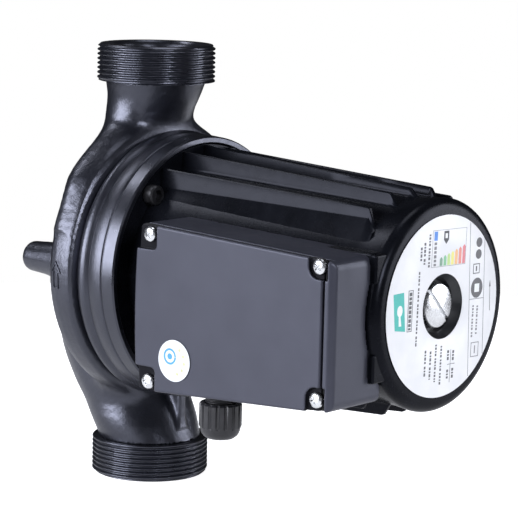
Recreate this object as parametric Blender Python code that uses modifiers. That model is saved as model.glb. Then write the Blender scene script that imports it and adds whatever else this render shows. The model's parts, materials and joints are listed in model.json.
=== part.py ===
"""Wet-rotor circulator pump with G2 threaded ports, built as separate pieces.

Frame: the origin is the middle of the line between the two port faces, where the
motor axis crosses it. +Z is the flow direction, from the inlet up to the outlet.
+X is the motor axis, towards the rating plate. The terminal box faces -Y.
Sizes below are millimetres; MM turns them into Blender's metres.
"""

import math

import bmesh
import bpy
from mathutils import Matrix, Vector

MM = 0.001
GAP = 0.3  # clearance left between two pieces that touch
FINE = 28  # facets round a large turned piece
MEDIUM = 20  # facets round a turned piece of middling size
COARSE = 12  # facets round a small turned piece
SMALL = 8  # facets round a screw or a screw hole

# Casing and ports
PORT_SPAN = 220.0  # port face to port face
THREAD_R = 29.8  # G2 thread, over its crests
THREAD_LENGTH = 18.5
THREAD_CHAMFER = 0.8
PORT_BORE_R = 20.5
PORT_MOUTH_R = 22.0
NECK_R = 26.0  # the cast neck just below the thread
RIM_R = 65.8  # machined rim of the casing
RIM_X = 35.0  # front face of that rim
SEAT_X = 27.5  # seat of the motor flange inside the rim
CHAMBER_R = 50.5  # impeller chamber and spigot bore
CHAMBER_BACK_X = -4.0
CHANNEL_R = 56.0  # volute channel round the impeller
SEAL_R = 53.4  # counterbore that holds the casing O-ring
SEAL_X = 25.2
EYE_R = 19.4  # suction eye through the back wall
REAR_BOSS_Y = 32.0
REAR_BOSS_Z = -1.5
REAR_BOSS_TIP_X = -56.5
REAR_BOSS_R = 7.6

# Motor
FLANGE_R = 62.2
FLANGE_FACE_X = 34.0
BOLT_CIRCLE_R = 57.0
BOLT_R = 2.8  # M6 shank
BOLT_HEAD_R = 4.9
BARREL_FRONT_R = 53.4
BARREL_REAR_R = 49.2
BARREL_REAR_X = 162.0
CAP_R = 50.3
CAP_FACE_X = 182.9
CAP_FILLET = 5.0
STATOR_BORE_R = 46.6
VENT_RECESS_R = 15.1
FIN_TIP_R = 61.7
FIN_PITCH = 15.5
FIN_THICKNESS = 3.0
FIN_END_X = 162.5
FIN_FOOT_X = 168.5
SIDE_FIN_TIP_R = 58.0
PAD_Y = -48.3  # flat seat of the terminal box
PAD_END_X = 181.0

# Rotor
SHAFT_R = 5.0
ROTOR_R = 27.0
CAN_BORE_R = 27.4
CAN_R = 28.0
CORE_START_X = 76.0
CORE_END_X = 130.0
IMPELLER_R = 46.0
BLADES = 6

# Terminal box
BOX_START_X = 60.0
BOX_END_X = 178.0
BOX_MIDDLE_Z = -7.5  # at BOX_START_X
BOX_RISE = 0.0107  # rise of the middle for each millimetre towards the plate
BOX_HALF_HEIGHT = 40.1  # at BOX_START_X
BOX_TAPER = 0.0489  # loss of half height for each millimetre towards the plate
BOX_WALL = 2.8
BOX_RIM_Y = -70.5
BOX_FLOOR_Y = -56.0
LIP_Y = -74.8  # raised end strip beside the cover
COVER_END_X = 172.0
COVER_BACK_Y = -72.3
COVER_FACE_Y = -75.3
COVER_CORNER_X = 72.0
POCKET_R = 5.7
SCREW_LEFT_X = 67.0
POCKET_FLOOR = 0.7  # cover left under each screw head
SCREW_RIGHT_X = 169.6

LEAD_X = 70.0  # hole for the winding leads
LEAD_Z = -2.0

# Cable gland
GLAND_X = 99.0
GLAND_Y = -58.0
GLAND_NUT_R = 10.2
GLAND_THREAD_R = 8.0  # M16
GLAND_BORE_R = 5.2

# Vent plug
PLUG_FACE_X = 181.4
PLUG_HEAD_R = 10.5
PLUG_THREAD_R = 8.0


# ---------------------------------------------------------------- scene tools


def empty_scene():
    for obj in list(bpy.data.objects):
        bpy.data.objects.remove(obj, do_unlink=True)


def collection(name):
    made = bpy.data.collections.new(name)
    bpy.context.scene.collection.children.link(made)
    return made


def material(name, colour, roughness, metallic=0.0):
    made = bpy.data.materials.new(name)
    made.use_nodes = True
    shader = made.node_tree.nodes["Principled BSDF"]
    shader.inputs["Base Color"].default_value = (*colour, 1.0)
    shader.inputs["Roughness"].default_value = roughness
    shader.inputs["Metallic"].default_value = metallic
    made.diffuse_color = (*colour, 1.0)
    return made


empty_scene()
PARTS = collection("circulator_pump")
CUTTERS = collection("cutters")


def place(name, mesh, finish=None):
    """Puts a mesh in the scene, as a part when it has a finish and as a tool when not."""
    obj = bpy.data.objects.new(name, mesh)
    if finish is None:
        CUTTERS.objects.link(obj)
        obj.hide_render = True
        obj.display_type = "WIRE"
    else:
        PARTS.objects.link(obj)
        mesh.materials.append(finish)
    return obj


def combine(obj, tool, operation):
    modifier = obj.modifiers.new(f"{operation.lower()} {tool.name}", "BOOLEAN")
    modifier.object = tool
    modifier.operation = operation


def join(obj, *tools):
    for tool in tools:
        combine(obj, tool, "UNION")


def cut(obj, *tools):
    for tool in tools:
        combine(obj, tool, "DIFFERENCE")


def baked(obj):
    """The mesh of an object with its modifiers applied; the object is removed."""
    graph = bpy.context.evaluated_depsgraph_get()
    mesh = bpy.data.meshes.new_from_object(obj.evaluated_get(graph))
    bpy.data.objects.remove(obj, do_unlink=True)
    return mesh


def point_along(obj, axis):
    """Turns an object made along its own Z so that it lies along a world axis."""
    turns = {"X": (0, 90, 0), "-X": (0, -90, 0), "Y": (-90, 0, 0), "-Y": (90, 0, 0), "-Z": (180, 0, 0)}
    obj.rotation_euler = [math.radians(a) for a in turns.get(axis, (0, 0, 0))]


# ---------------------------------------------------------------- shape tools


def turned(name, outline, finish=None, axis="X", centre=(0, 0, 0), facets=FINE):
    """A turned solid. The outline lists (distance along the axis, radius) points.

    An outline that starts and ends at radius 0 is a solid; any other is a closed ring.
    """
    closed = outline[0][1] > 0 or outline[-1][1] > 0
    count = len(outline)
    spin = sum(
        outline[i][1] * outline[(i + 1) % count][0] - outline[(i + 1) % count][1] * outline[i][0]
        for i in range(count)
    )
    if spin > 0:
        outline = outline[::-1]
    points = [(radius * MM, 0, along * MM) for along, radius in outline]
    edges = [(i, i + 1) for i in range(count - 1)]
    if closed:
        edges.append((count - 1, 0))
    mesh = bpy.data.meshes.new(name)
    mesh.from_pydata(points, edges, [])
    obj = place(name, mesh, finish)
    screw = obj.modifiers.new("turn", "SCREW")
    screw.axis = "Z"
    screw.angle = math.tau
    screw.steps = facets
    screw.render_steps = facets
    screw.use_merge_vertices = not closed
    screw.merge_threshold = 0.00001
    screw.use_smooth_shade = True
    point_along(obj, axis)
    obj.location = Vector(centre) * MM
    return obj


def rod(name, start, end, radius, finish=None, axis="X", centre=(0, 0, 0), facets=COARSE):
    outline = [(start, 0), (start, radius), (end, radius), (end, 0)]
    return turned(name, outline, finish, axis, centre, facets)


def tube(name, start, end, inner, outer, finish=None, axis="X", centre=(0, 0, 0), facets=COARSE):
    outline = [(start, inner), (start, outer), (end, outer), (end, inner)]
    return turned(name, outline, finish, axis, centre, facets)


def block(name, low, high, finish=None):
    mesh = bpy.data.meshes.new(name)
    shape = bmesh.new()
    bmesh.ops.create_cube(shape, size=1.0)
    size = [high[i] - low[i] for i in range(3)]
    middle = [(high[i] + low[i]) / 2 for i in range(3)]
    bmesh.ops.scale(shape, vec=Vector(size) * MM, verts=shape.verts)
    bmesh.ops.translate(shape, vec=Vector(middle) * MM, verts=shape.verts)
    shape.to_mesh(mesh)
    shape.free()
    return place(name, mesh, finish)


def plate(name, outline, low, high, finish=None, axis="Y"):
    """A flat outline with thickness, from low to high along an axis.

    The outline lists (x, z) points for the Y axis and (y, z) points for the X axis.
    """
    curve = bpy.data.curves.new(name, "CURVE")
    curve.dimensions = "2D"
    curve.fill_mode = "BOTH"
    curve.extrude = (high - low) / 2 * MM
    spline = curve.splines.new("POLY")
    spline.points.add(len(outline) - 1)
    for point, (across, up) in zip(spline.points, outline):
        point.co = (across * MM, up * MM, 0, 1)
    spline.use_cyclic_u = True
    flat = bpy.data.objects.new(name, curve)
    CUTTERS.objects.link(flat)
    middle = (high + low) / 2 * MM
    if axis == "Y":
        turn = Matrix.Rotation(math.radians(90), 4, "X")
        turn.translation = (0, middle, 0)
    else:
        turn = Matrix(((0, 0, 1, middle), (1, 0, 0, 0), (0, 1, 0, 0), (0, 0, 0, 1)))
    bpy.context.view_layer.update()
    mesh = baked(flat)
    bpy.data.curves.remove(curve)
    shape = bmesh.new()
    shape.from_mesh(mesh)
    bmesh.ops.remove_doubles(shape, verts=shape.verts, dist=0.00001)
    bmesh.ops.dissolve_limit(shape, angle_limit=0.01, verts=[], edges=shape.edges)
    bmesh.ops.transform(shape, matrix=turn, verts=shape.verts)
    bmesh.ops.recalc_face_normals(shape, faces=shape.faces)
    shape.to_mesh(mesh)
    shape.free()
    return place(name, mesh, finish)


def loft(name, sections, facets=18, finish=None):
    """A solid through level elliptical sections: (z, middle x, half size in x, half size in y)."""
    shape = bmesh.new()
    rings = []
    for z, middle_x, half_x, half_y in sections:
        ring = []
        for i in range(facets):
            turn = math.tau * i / facets
            corner = (middle_x + half_x * math.cos(turn), half_y * math.sin(turn), z)
            ring.append(shape.verts.new(Vector(corner) * MM))
        rings.append(ring)
    for lower, upper in zip(rings, rings[1:]):
        for i in range(facets):
            j = (i + 1) % facets
            shape.faces.new((lower[i], lower[j], upper[j], upper[i]))
    shape.faces.new(rings[0])
    shape.faces.new(rings[-1])
    bmesh.ops.recalc_face_normals(shape, faces=shape.faces)
    mesh = bpy.data.meshes.new(name)
    shape.to_mesh(mesh)
    shape.free()
    return place(name, mesh, finish)


def arc(middle, radius, start, end, steps=4):
    """Points on a circle in an outline, with the angles in degrees."""
    turns = [math.radians(start + (end - start) * i / steps) for i in range(steps + 1)]
    return [(middle[0] + radius * math.cos(t), middle[1] + radius * math.sin(t)) for t in turns]


def wire(name, points, radius, finish):
    curve = bpy.data.curves.new(name, "CURVE")
    curve.dimensions = "3D"
    curve.bevel_depth = radius * MM
    curve.bevel_resolution = 2
    curve.use_fill_caps = True
    spline = curve.splines.new("POLY")
    spline.points.add(len(points) - 1)
    for point, place_mm in zip(spline.points, points):
        point.co = (*(Vector(place_mm) * MM), 1)
    curve.materials.append(finish)
    obj = bpy.data.objects.new(name, curve)
    PARTS.objects.link(obj)
    return obj


# ------------------------------------------------------------------ materials

CASTING = material("casting_paint", (0.018, 0.019, 0.023), 0.45)
MOTOR_PAINT = material("motor_paint", (0.012, 0.013, 0.016), 0.32)
BOX_PAINT = material("box_paint", (0.065, 0.067, 0.082), 0.42)
BRIGHT = material("bright_chrome", (0.78, 0.79, 0.80), 0.12, 1.0)
STAINLESS = material("stainless_steel", (0.60, 0.60, 0.59), 0.30, 1.0)
DARK_STEEL = material("blackened_steel", (0.05, 0.05, 0.055), 0.40, 0.6)
LAMINATION = material("lamination_steel", (0.24, 0.25, 0.27), 0.45, 1.0)
COPPER = material("winding_wire", (0.60, 0.24, 0.09), 0.40, 0.8)
BRASS = material("brass", (0.70, 0.52, 0.22), 0.30, 1.0)
RUBBER = material("seal_rubber", (0.02, 0.02, 0.02), 0.75)
CARBON = material("carbon_bearing", (0.06, 0.06, 0.065), 0.50)
IMPELLER_PLASTIC = material("impeller_plastic", (0.10, 0.10, 0.11), 0.45)
GLAND_PLASTIC = material("gland_plastic", (0.015, 0.015, 0.018), 0.35)
BLOCK_PLASTIC = material("block_plastic", (0.80, 0.79, 0.75), 0.50)
CAPACITOR_CASE = material("capacitor_case", (0.72, 0.73, 0.74), 0.45)
PLATE_WHITE = material("plate_white", (0.86, 0.87, 0.88), 0.40)
STICKER_WHITE = material("sticker_white", (0.88, 0.90, 0.91), 0.45)
LEAD_JACKET = material("lead_jacket", (0.20, 0.10, 0.05), 0.50)


# --------------------------------------------------------------- pump casing


def casing_outside():
    """Volute, groove, rib and machined rim, turned about the motor axis."""
    return turned(
        "pump_housing",
        [
            (-14, 0), (-14, 42), (-7.5, 63), (-3.5, 68.4), (0, 69.4), (5, 68.8), (9, 66.4),
            (13.5, 68.8), (19, 66.6), (28, 66.2), (RIM_X - 0.6, RIM_R), (RIM_X, RIM_R - 0.6),
            (RIM_X, 0),
        ],
        CASTING,
    )


def casing_inside():
    """Impeller chamber with its volute channel, O-ring counterbore and flange seat."""
    return turned(
        "casing_inside",
        [
            (CHAMBER_BACK_X, 0), (CHAMBER_BACK_X, CHAMBER_R), (-2, CHANNEL_R), (8, CHANNEL_R),
            (11, CHAMBER_R), (SEAL_X, CHAMBER_R), (SEAL_X, SEAL_R), (SEAT_X, SEAL_R),
            (SEAT_X, FLANGE_R + GAP), (40, FLANGE_R + GAP), (40, 0),
        ],
    )


def port_end(name, sign):
    """The round threaded end of a port, with chamfered crests."""
    face = PORT_SPAN / 2
    foot = face - THREAD_LENGTH
    outline = [
        (foot, 0), (foot, THREAD_R - 1.2), (foot + 1.2, THREAD_R),
        (face - THREAD_CHAMFER, THREAD_R), (face, THREAD_R - THREAD_CHAMFER), (face, 0),
    ]
    return turned(name, outline, axis="Z" if sign > 0 else "-Z")


def port_mouth(name, sign):
    """The lead-in chamfer at the port face."""
    face = PORT_SPAN / 2
    outline = [(face - 3, 0), (face - 3, PORT_BORE_R - 0.4), (face - 1.2, PORT_MOUTH_R),
               (face + 1, PORT_MOUTH_R), (face + 1, 0)]
    return turned(name, outline, axis="Z" if sign > 0 else "-Z", facets=MEDIUM)


def pump_housing():
    foot = PORT_SPAN / 2 - THREAD_LENGTH
    casing = casing_outside()
    outlet_neck = loft("outlet_neck", [
        (44, -2, 11, 52), (55, -3, 13, 42), (62, -4, 15, 33), (70, -5.6, 17.5, 25.5),
        (76, -3.8, 20, 24.5), (83, -1.6, 22.8, 23.8), (foot + 1, 0, 25, 25),
    ])
    suction = loft("suction_neck", [
        (-foot - 1, 0, NECK_R, NECK_R), (-81, -4.9, 25.8, 28.5), (-73, -9.2, 26.5, 28.5),
        (-65, -14.3, 26.5, 29.5), (-50, -22, 26, 31), (-28, -26, 24.5, 34), (2, -25.5, 21.5, 33),
        (20, -21.5, 16, 25), (31, -17.5, 6, 9),
    ])
    top_web = plate("top_web", [(0, 60), (22.5, 60), (22.5, 79), (10, 88), (0, 88)], -2, 2)
    lower_web = plate("lower_web", [(-5, -60), (22.5, -60), (22.5, -84), (10, -90), (-5, -90)], -2, 2)
    join(casing, outlet_neck, suction, top_web, lower_web)
    join(casing, port_end("outlet_thread", 1), port_end("inlet_thread", -1))
    for side in (-1, 1):
        boss = turned(
            f"rear_boss_{side}",
            [(-12, 0), (-12, 10.5), (REAR_BOSS_TIP_X + 2, REAR_BOSS_R),
             (REAR_BOSS_TIP_X, REAR_BOSS_R - 2), (REAR_BOSS_TIP_X, 0)],
            centre=(0, side * REAR_BOSS_Y, REAR_BOSS_Z), facets=COARSE,
        )
        join(casing, boss)
    nub = turned(
        "rear_nub", [(-8, 0), (-8, 4.4), (-18, 3.8), (-20, 2.4), (-20, 0)],
        centre=(0, -34, 46.3), facets=SMALL,
    )
    join(casing, nub)

    outlet_passage = loft("outlet_passage", [
        (45, 3, 5, 14), (56, 2.5, 5.5, 15), (62, 1.5, 6, 16), (70, -3, 9.5, 18),
        (83, -1.6, 17.5, 18.5), (foot, 0, 20, 20), (PORT_SPAN / 2 + 1, 0, PORT_BORE_R, PORT_BORE_R),
    ], facets=16)
    inlet_passage = loft("inlet_passage", [
        (-PORT_SPAN / 2 - 1, 0, PORT_BORE_R, PORT_BORE_R), (-foot, 0, 20, 20), (-81, -5.5, 19.5, 20),
        (-73, -10.5, 19, 20.5), (-65, -17, 17, 21.5), (-50, -25, 16, 23.5), (-28, -28, 15.5, 26),
        (2, -27.5, 13.5, 25), (20, -25, 6, 12),
    ], facets=16)
    eye = rod("suction_eye", -22, CHAMBER_BACK_X + 1, EYE_R, facets=MEDIUM)
    cut(casing, casing_inside(), outlet_passage, inlet_passage, eye)
    cut(casing, port_mouth("outlet_mouth", 1), port_mouth("inlet_mouth", -1))
    for i, (y, z) in enumerate(bolt_places()):
        cut(casing, rod(f"tapped_hole_{i}", 12, SEAT_X + 1, BOLT_R + GAP, centre=(0, y, z), facets=SMALL))
    return casing


def bolt_places():
    return [
        (BOLT_CIRCLE_R * math.cos(math.radians(a)), BOLT_CIRCLE_R * math.sin(math.radians(a)))
        for a in (45, 135, 225, 315)
    ]


def neck_ring():
    return tube("neck_ring", -9.5, -4.4, 17.6, EYE_R - GAP, BRASS, facets=MEDIUM)


# -------------------------------------------------------------------- rotor


def impeller():
    """Closed impeller: two shrouds, an eye collar, a hub and curved blades."""
    wheel = turned(
        "impeller",
        [(6.5, SHAFT_R + GAP), (6.5, IMPELLER_R), (9, IMPELLER_R), (9, 11), (11.5, 9),
         (11.5, SHAFT_R + GAP)],
        IMPELLER_PLASTIC, facets=MEDIUM,
    )
    shroud = tube("front_shroud", -1, 1, 15, IMPELLER_R, facets=MEDIUM)
    collar = turned(
        "eye_collar", [(-9, 14.6), (-9, 17.2), (-1, 17.2), (0.5, 19), (0.5, 14.6)], facets=MEDIUM
    )
    hub = tube("impeller_hub", -2, 7, SHAFT_R + GAP, 9, facets=COARSE)
    join(wheel, shroud, collar, hub)
    for i in range(BLADES):
        blade = blade_tool(f"blade_{i}", math.tau * i / BLADES)
        join(wheel, blade)
    return wheel


def blade_tool(name, start):
    """A backward-swept blade as a curved strip with thickness."""
    steps = 3
    inner, outer, sweep, half = 8.4, IMPELLER_R - 0.6, math.radians(75), 1.0
    line = []
    for i in range(steps + 1):
        share = i / steps
        radius = inner + (outer - inner) * share
        turn = start + sweep * share
        line.append((radius, turn))
    left = [((r + half) * math.cos(t), (r + half) * math.sin(t)) for r, t in line]
    right = [((r - half) * math.cos(t + 0.04), (r - half) * math.sin(t + 0.04)) for r, t in line]
    return plate(name, left + right[::-1], 0, 7.5, axis="X")


def shaft():
    return turned(
        "shaft",
        [(-6, 0), (-6, 4.2), (-5.2, SHAFT_R), (163, SHAFT_R), (164, 4.2), (164, 0)],
        STAINLESS, facets=COARSE,
    )


def rotor_pieces():
    tube("impeller_clip", -4.6, -2.4, SHAFT_R + GAP, 8.2, DARK_STEEL)
    tube("thrust_ring", 35, 40, SHAFT_R + GAP, 10.5, CARBON)
    tube("rotor_core", CORE_START_X, CORE_END_X, SHAFT_R + GAP, ROTOR_R - 1.1, LAMINATION, facets=MEDIUM)
    tube("rotor_sleeve", CORE_START_X - 1, CORE_END_X + 1, ROTOR_R - 0.8, ROTOR_R, STAINLESS, facets=MEDIUM)


def bearing_plate():
    return turned(
        "bearing_plate",
        [(13, 8.5), (13, CHAMBER_R - GAP), (SEAL_X + GAP, CHAMBER_R - GAP), (SEAL_X + GAP, 51.6),
         (27, 51.6), (27, 47.5), (16, 47.5), (16, 14), (33, 12.5), (33, 8.5)],
        STAINLESS,
    )


def fixed_rotor_side():
    tube("front_bearing", 18, 32.5, SHAFT_R + GAP, 8.2, CARBON)
    tube("rear_bearing", 152, 162, SHAFT_R + GAP, 12.2, CARBON)
    turned("can_oring", oring_outline(157, 14.9, 0.85), RUBBER, facets=COARSE)
    turned("housing_oring", oring_outline(26.4, 52.5, 0.6), RUBBER, facets=FINE)


def oring_outline(along, radius, half):
    return [
        (along + half * math.cos(math.tau * i / 6), radius + half * math.sin(math.tau * i / 6))
        for i in range(6)
    ]


def rotor_can():
    """Thin closed liner between the rotor, which runs wet, and the dry stator."""
    return turned(
        "rotor_can",
        [(27.4, CAN_BORE_R), (27.4, 49.5), (28.9, 49.5), (28.9, CAN_R), (148, CAN_R), (151.5, 17),
         (151.5, 13.4), (163, 13.4), (163, 12.5), (150.6, 12.5), (150.6, 16.4), (147.5, CAN_BORE_R)],
        STAINLESS, facets=FINE,
    )


# ------------------------------------------------------------------- stator


def stator():
    tube("stator_core", CORE_START_X + 1, CORE_END_X - 1, CAN_R + GAP, STATOR_BORE_R - GAP,
         LAMINATION, facets=FINE)
    for name, start, end in (
        ("winding_front", 61, CORE_START_X + 0.6),
        ("winding_rear", CORE_END_X - 0.6, 144),
    ):
        outline = [(start, 32), (start, 41), (start + 2, 43), (end - 2, 43), (end, 41), (end, 32),
                   (end - 2, 30), (start + 2, 30)]
        turned(name, outline, COPPER, facets=MEDIUM)


# ------------------------------------------------------------ motor housing


def fin_outline(offset, tip_r, sign):
    """A fin seen from the side: it falls away towards the rating plate."""
    root = math.sqrt(47.6**2 - offset**2)
    corner = abs(offset) + FIN_THICKNESS / 2
    tip = math.sqrt(tip_r**2 - corner**2)
    fall = 8.4 - 0.094 * abs(offset)
    foot = math.sqrt(48.8**2 - offset**2)
    outline = [
        (FLANGE_FACE_X - 2, root), (FLANGE_FACE_X - 2, tip), (FLANGE_FACE_X + 2, tip),
        (FIN_END_X, tip - fall), (FIN_FOOT_X, foot), (FIN_FOOT_X, root - 1.5),
    ]
    return [(x, sign * z) for x, z in outline]


def motor_outside():
    fillet = arc((CAP_FACE_X - CAP_FILLET, CAP_R - CAP_FILLET), CAP_FILLET, 90, 0, 5)
    return turned(
        "motor_housing",
        [
            (27.8, 0), (27.8, FLANGE_R), (FLANGE_FACE_X - 0.6, FLANGE_R),
            (FLANGE_FACE_X, FLANGE_R - 0.6), (FLANGE_FACE_X, BARREL_FRONT_R),
            (BARREL_REAR_X, BARREL_REAR_R), (170, 49.3), *fillet, (CAP_FACE_X, 0),
        ],
        MOTOR_PAINT,
    )


def motor_inside():
    """Stator bore, can seat and O-ring step, plug thread, counterbore and recess."""
    return turned(
        "motor_inside",
        [
            (20, 0), (20, 49.9), (29.2, 49.9), (29.2, STATOR_BORE_R), (138, STATOR_BORE_R),
            (140, 45.4), (175, 45.4), (178.4, 43), (178.4, 21), (176, 18.5), (154, 18.5),
            (154, 16.2), (159, 16.2), (159, 13.8), (164.5, 13.8), (164.5, PLUG_THREAD_R + 0.4),
            (171.2, PLUG_THREAD_R + 0.4), (171.2, PLUG_HEAD_R + 0.4), (176, PLUG_HEAD_R + 0.4),
            (176, 12.5), (179, 12.6), (CAP_FACE_X, VENT_RECESS_R), (186, 17), (186, 0),
        ],
    )


def motor_housing():
    shell = motor_outside()
    for sign, side in ((1, "upper"), (-1, "lower")):
        for i in range(-2, 3):
            offset = i * FIN_PITCH
            fin = plate(
                f"{side}_fin_{i}", fin_outline(offset, FIN_TIP_R, sign),
                offset - FIN_THICKNESS / 2, offset + FIN_THICKNESS / 2,
            )
            join(shell, fin)
    for i in (-1, 0, 1):
        offset = i * FIN_PITCH
        fin = plate(
            f"side_fin_{i}", fin_outline(offset, SIDE_FIN_TIP_R, 1),
            -offset - FIN_THICKNESS / 2, -offset + FIN_THICKNESS / 2,
        )
        fin.rotation_euler = (math.radians(-90), 0, 0)
        join(shell, fin)
    join(shell, block("box_pad", (62, PAD_Y, -31), (PAD_END_X, -20, 29)))
    cut(shell, motor_inside(), wire_hole("housing_wire_hole", 5.2))
    for i, (y, z) in enumerate(bolt_places()):
        cut(shell, rod(f"clearance_hole_{i}", 20, 40, BOLT_R + GAP, centre=(0, y, z), facets=SMALL))
        cut(shell, rod(f"spot_face_{i}", FLANGE_FACE_X, 50, BOLT_HEAD_R + 0.6, centre=(0, y, z), facets=16))
    for i, (x, z) in enumerate(box_screw_places()):
        cut(shell, rod(f"pad_hole_{i}", 44, 60, 1.9, axis="-Y", centre=(x, 0, z), facets=SMALL))
    return shell


def wire_hole(name, radius):
    return rod(name, 40, 60, radius, axis="-Y", centre=(LEAD_X, 0, LEAD_Z), facets=SMALL)


def flange_bolt(number, y, z):
    """M6 socket-head bolt."""
    head_x = FLANGE_FACE_X + GAP
    bolt = turned(
        f"flange_bolt_{number}",
        [(14, 0), (14, BOLT_R - 0.5), (14.6, BOLT_R), (head_x, BOLT_R), (head_x, BOLT_HEAD_R),
         (head_x + 5.4, BOLT_HEAD_R), (head_x + 6, BOLT_HEAD_R - 0.6), (head_x + 6, 0)],
        DARK_STEEL, centre=(0, y, z), facets=COARSE,
    )
    socket = rod(f"hex_socket_{number}", head_x + 2.6, head_x + 8, 2.8, centre=(0, y, z), facets=6)
    cut(bolt, socket)
    return bolt


def rating_plate():
    return tube("rating_plate", CAP_FACE_X + GAP, CAP_FACE_X + 0.7, VENT_RECESS_R + 0.2, 42.8,
                PLATE_WHITE, facets=FINE)


def vent_plug():
    plug = turned(
        "vent_plug",
        [(165.2, 0), (165.2, 7.4), (165.8, PLUG_THREAD_R), (173.4, PLUG_THREAD_R),
         (173.4, PLUG_HEAD_R), (PLUG_FACE_X - 0.8, PLUG_HEAD_R), (PLUG_FACE_X, PLUG_HEAD_R - 0.8),
         (PLUG_FACE_X, 0)],
        BRIGHT, facets=MEDIUM,
    )
    slot = block("plug_slot", (PLUG_FACE_X - 2.2, -12, -0.9), (PLUG_FACE_X + 2, 12, 0.9))
    slot.rotation_euler = (math.radians(-47), 0, 0)
    cut(plug, slot)
    turned("vent_oring", oring_outline(172.3, 9.4, 0.75), RUBBER, facets=COARSE)
    return plug


# ------------------------------------------------------------- terminal box


def box_edge(x, side):
    """Height of the upper (side 1) or lower (side -1) edge of the box."""
    along = x - BOX_START_X
    return BOX_MIDDLE_Z + BOX_RISE * along + side * (BOX_HALF_HEIGHT - BOX_TAPER * along)


def box_outline(inset, start_x, end_x, corner):
    """Tapering outline with rounded corners; the end by the flange is slightly bowed."""
    left, right = start_x + inset, end_x - inset
    top_left, low_left = box_edge(left, 1) - inset, box_edge(left, -1) + inset
    top_right, low_right = box_edge(right, 1) - inset, box_edge(right, -1) + inset
    bow = 1.6
    return (
        arc((right - corner, top_right - corner), corner, 0, 90)
        + arc((left + corner, top_left - corner), corner, 90, 180)
        + [(left - bow, (top_left + low_left) / 2)]
        + arc((left + corner, low_left + corner), corner, 180, 270)
        + arc((right - corner, low_right + corner), corner, 270, 360)
    )


def screw_places():
    """(x, z, side) of each cover screw: side 1 is above and -1 below."""
    return [
        (SCREW_LEFT_X, box_edge(SCREW_LEFT_X, 1) - 4.6, 1),
        (SCREW_LEFT_X, box_edge(SCREW_LEFT_X, -1) + 4.6, -1),
        (SCREW_RIGHT_X, box_edge(SCREW_RIGHT_X, 1) - 3.5, 1),
        (SCREW_RIGHT_X, box_edge(SCREW_RIGHT_X, -1) + 5.7, -1),
    ]


def screw_pocket(name, x, z, side, floor_y):
    """Tool for the corner recess round a cover screw, open at the nearer long edge."""
    out_z = z + side * 12
    if x == SCREW_LEFT_X:
        low_z, high_z = sorted((z - side * 7, out_z))
        return block(name, (40, -90, low_z), (COVER_CORNER_X, floor_y, high_z))
    outline = arc((x, z), POCKET_R, 180, 180 + side * 90)
    outline += [(x + 4.9, z - side * POCKET_R), (x + 4.9, out_z), (x - POCKET_R, out_z)]
    return plate(name, outline, -90, floor_y)


def box_screw_places():
    return [(77.0, 20.0), (160.0, 18.0), (77.0, -26.0), (160.0, -26.0)]


def motor_envelope():
    """The barrel and pad, enlarged by the gap, which shape the back of the box."""
    barrel = turned(
        "barrel_envelope",
        [(20, 0), (20, BARREL_FRONT_R + 1.1), (BARREL_REAR_X, BARREL_REAR_R + 0.6),
         (174, CAP_R + 0.4), (190, CAP_R + 0.6), (190, 0)],
    )
    pad_block = block("pad_envelope", (50, PAD_Y - GAP, -31.4), (190, -20, 29.4))
    return barrel, pad_block


def terminal_box():
    box = plate("terminal_box", box_outline(0, BOX_START_X, BOX_END_X, 4), LIP_Y, -38, BOX_PAINT)
    corner = block("strip_chamfer", (-5, -5, -60), (5, 5, 60))
    corner.rotation_euler = (0, 0, math.radians(45))
    corner.location = Vector((BOX_END_X + 1.4, LIP_Y - 1.4, 0)) * MM
    rim = block("rim_step", (40, -90, -70), (COVER_END_X + 0.8, BOX_RIM_Y, 60))
    cavity = plate(
        "box_cavity", box_outline(BOX_WALL, BOX_START_X, COVER_END_X + 4, 3), -71.5, BOX_FLOOR_Y
    )
    lower_pocket = block("lower_pocket", (73, -68, -41.8), (163, -43.3, -33.2))
    for i, (x, z, _) in enumerate(screw_places()):
        column = rod(f"screw_column_{i}", 30, 90, 4.4, axis="-Y", centre=(x, 0, z), facets=SMALL)
        cut(cavity, column)
    cut(box, corner, rim, cavity, lower_pocket, *motor_envelope())
    for i, (x, z, side) in enumerate(screw_places()):
        cut(box, rod(f"cover_screw_hole_{i}", 58, 90, 1.9, axis="-Y", centre=(x, 0, z), facets=SMALL))
        if x == SCREW_RIGHT_X:
            cut(box, screw_pocket(f"strip_pocket_{i}", x, z, side, -70.9))
    for i, (x, z) in enumerate(box_screw_places()):
        cut(box, rod(f"box_screw_hole_{i}", 40, 60, 1.9, axis="-Y", centre=(x, 0, z), facets=SMALL))
    cut(box, wire_hole("box_wire_hole", 5.2))
    gland_hole = rod("gland_hole", 38, 52, GLAND_THREAD_R + GAP, axis="-Z",
                     centre=(GLAND_X, GLAND_Y, 0), facets=COARSE)
    gland_seat = rod("gland_seat", -gland_wall_z(), 52, GLAND_NUT_R, axis="-Z",
                     centre=(GLAND_X, GLAND_Y, 0), facets=COARSE)
    cut(box, gland_hole, gland_seat)
    return box


def terminal_cover():
    cover = plate(
        "terminal_cover", box_outline(0, BOX_START_X, COVER_END_X, 2.5), COVER_FACE_Y, COVER_BACK_Y, BOX_PAINT
    )
    for i, (x, z, side) in enumerate(screw_places()):
        cut(cover, screw_pocket(f"cover_pocket_{i}", x, z, side, COVER_BACK_Y - POCKET_FLOOR))
        cut(cover, rod(f"cover_hole_{i}", 60, 90, 2.1, axis="-Y", centre=(x, 0, z), facets=SMALL))
    return cover


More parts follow.
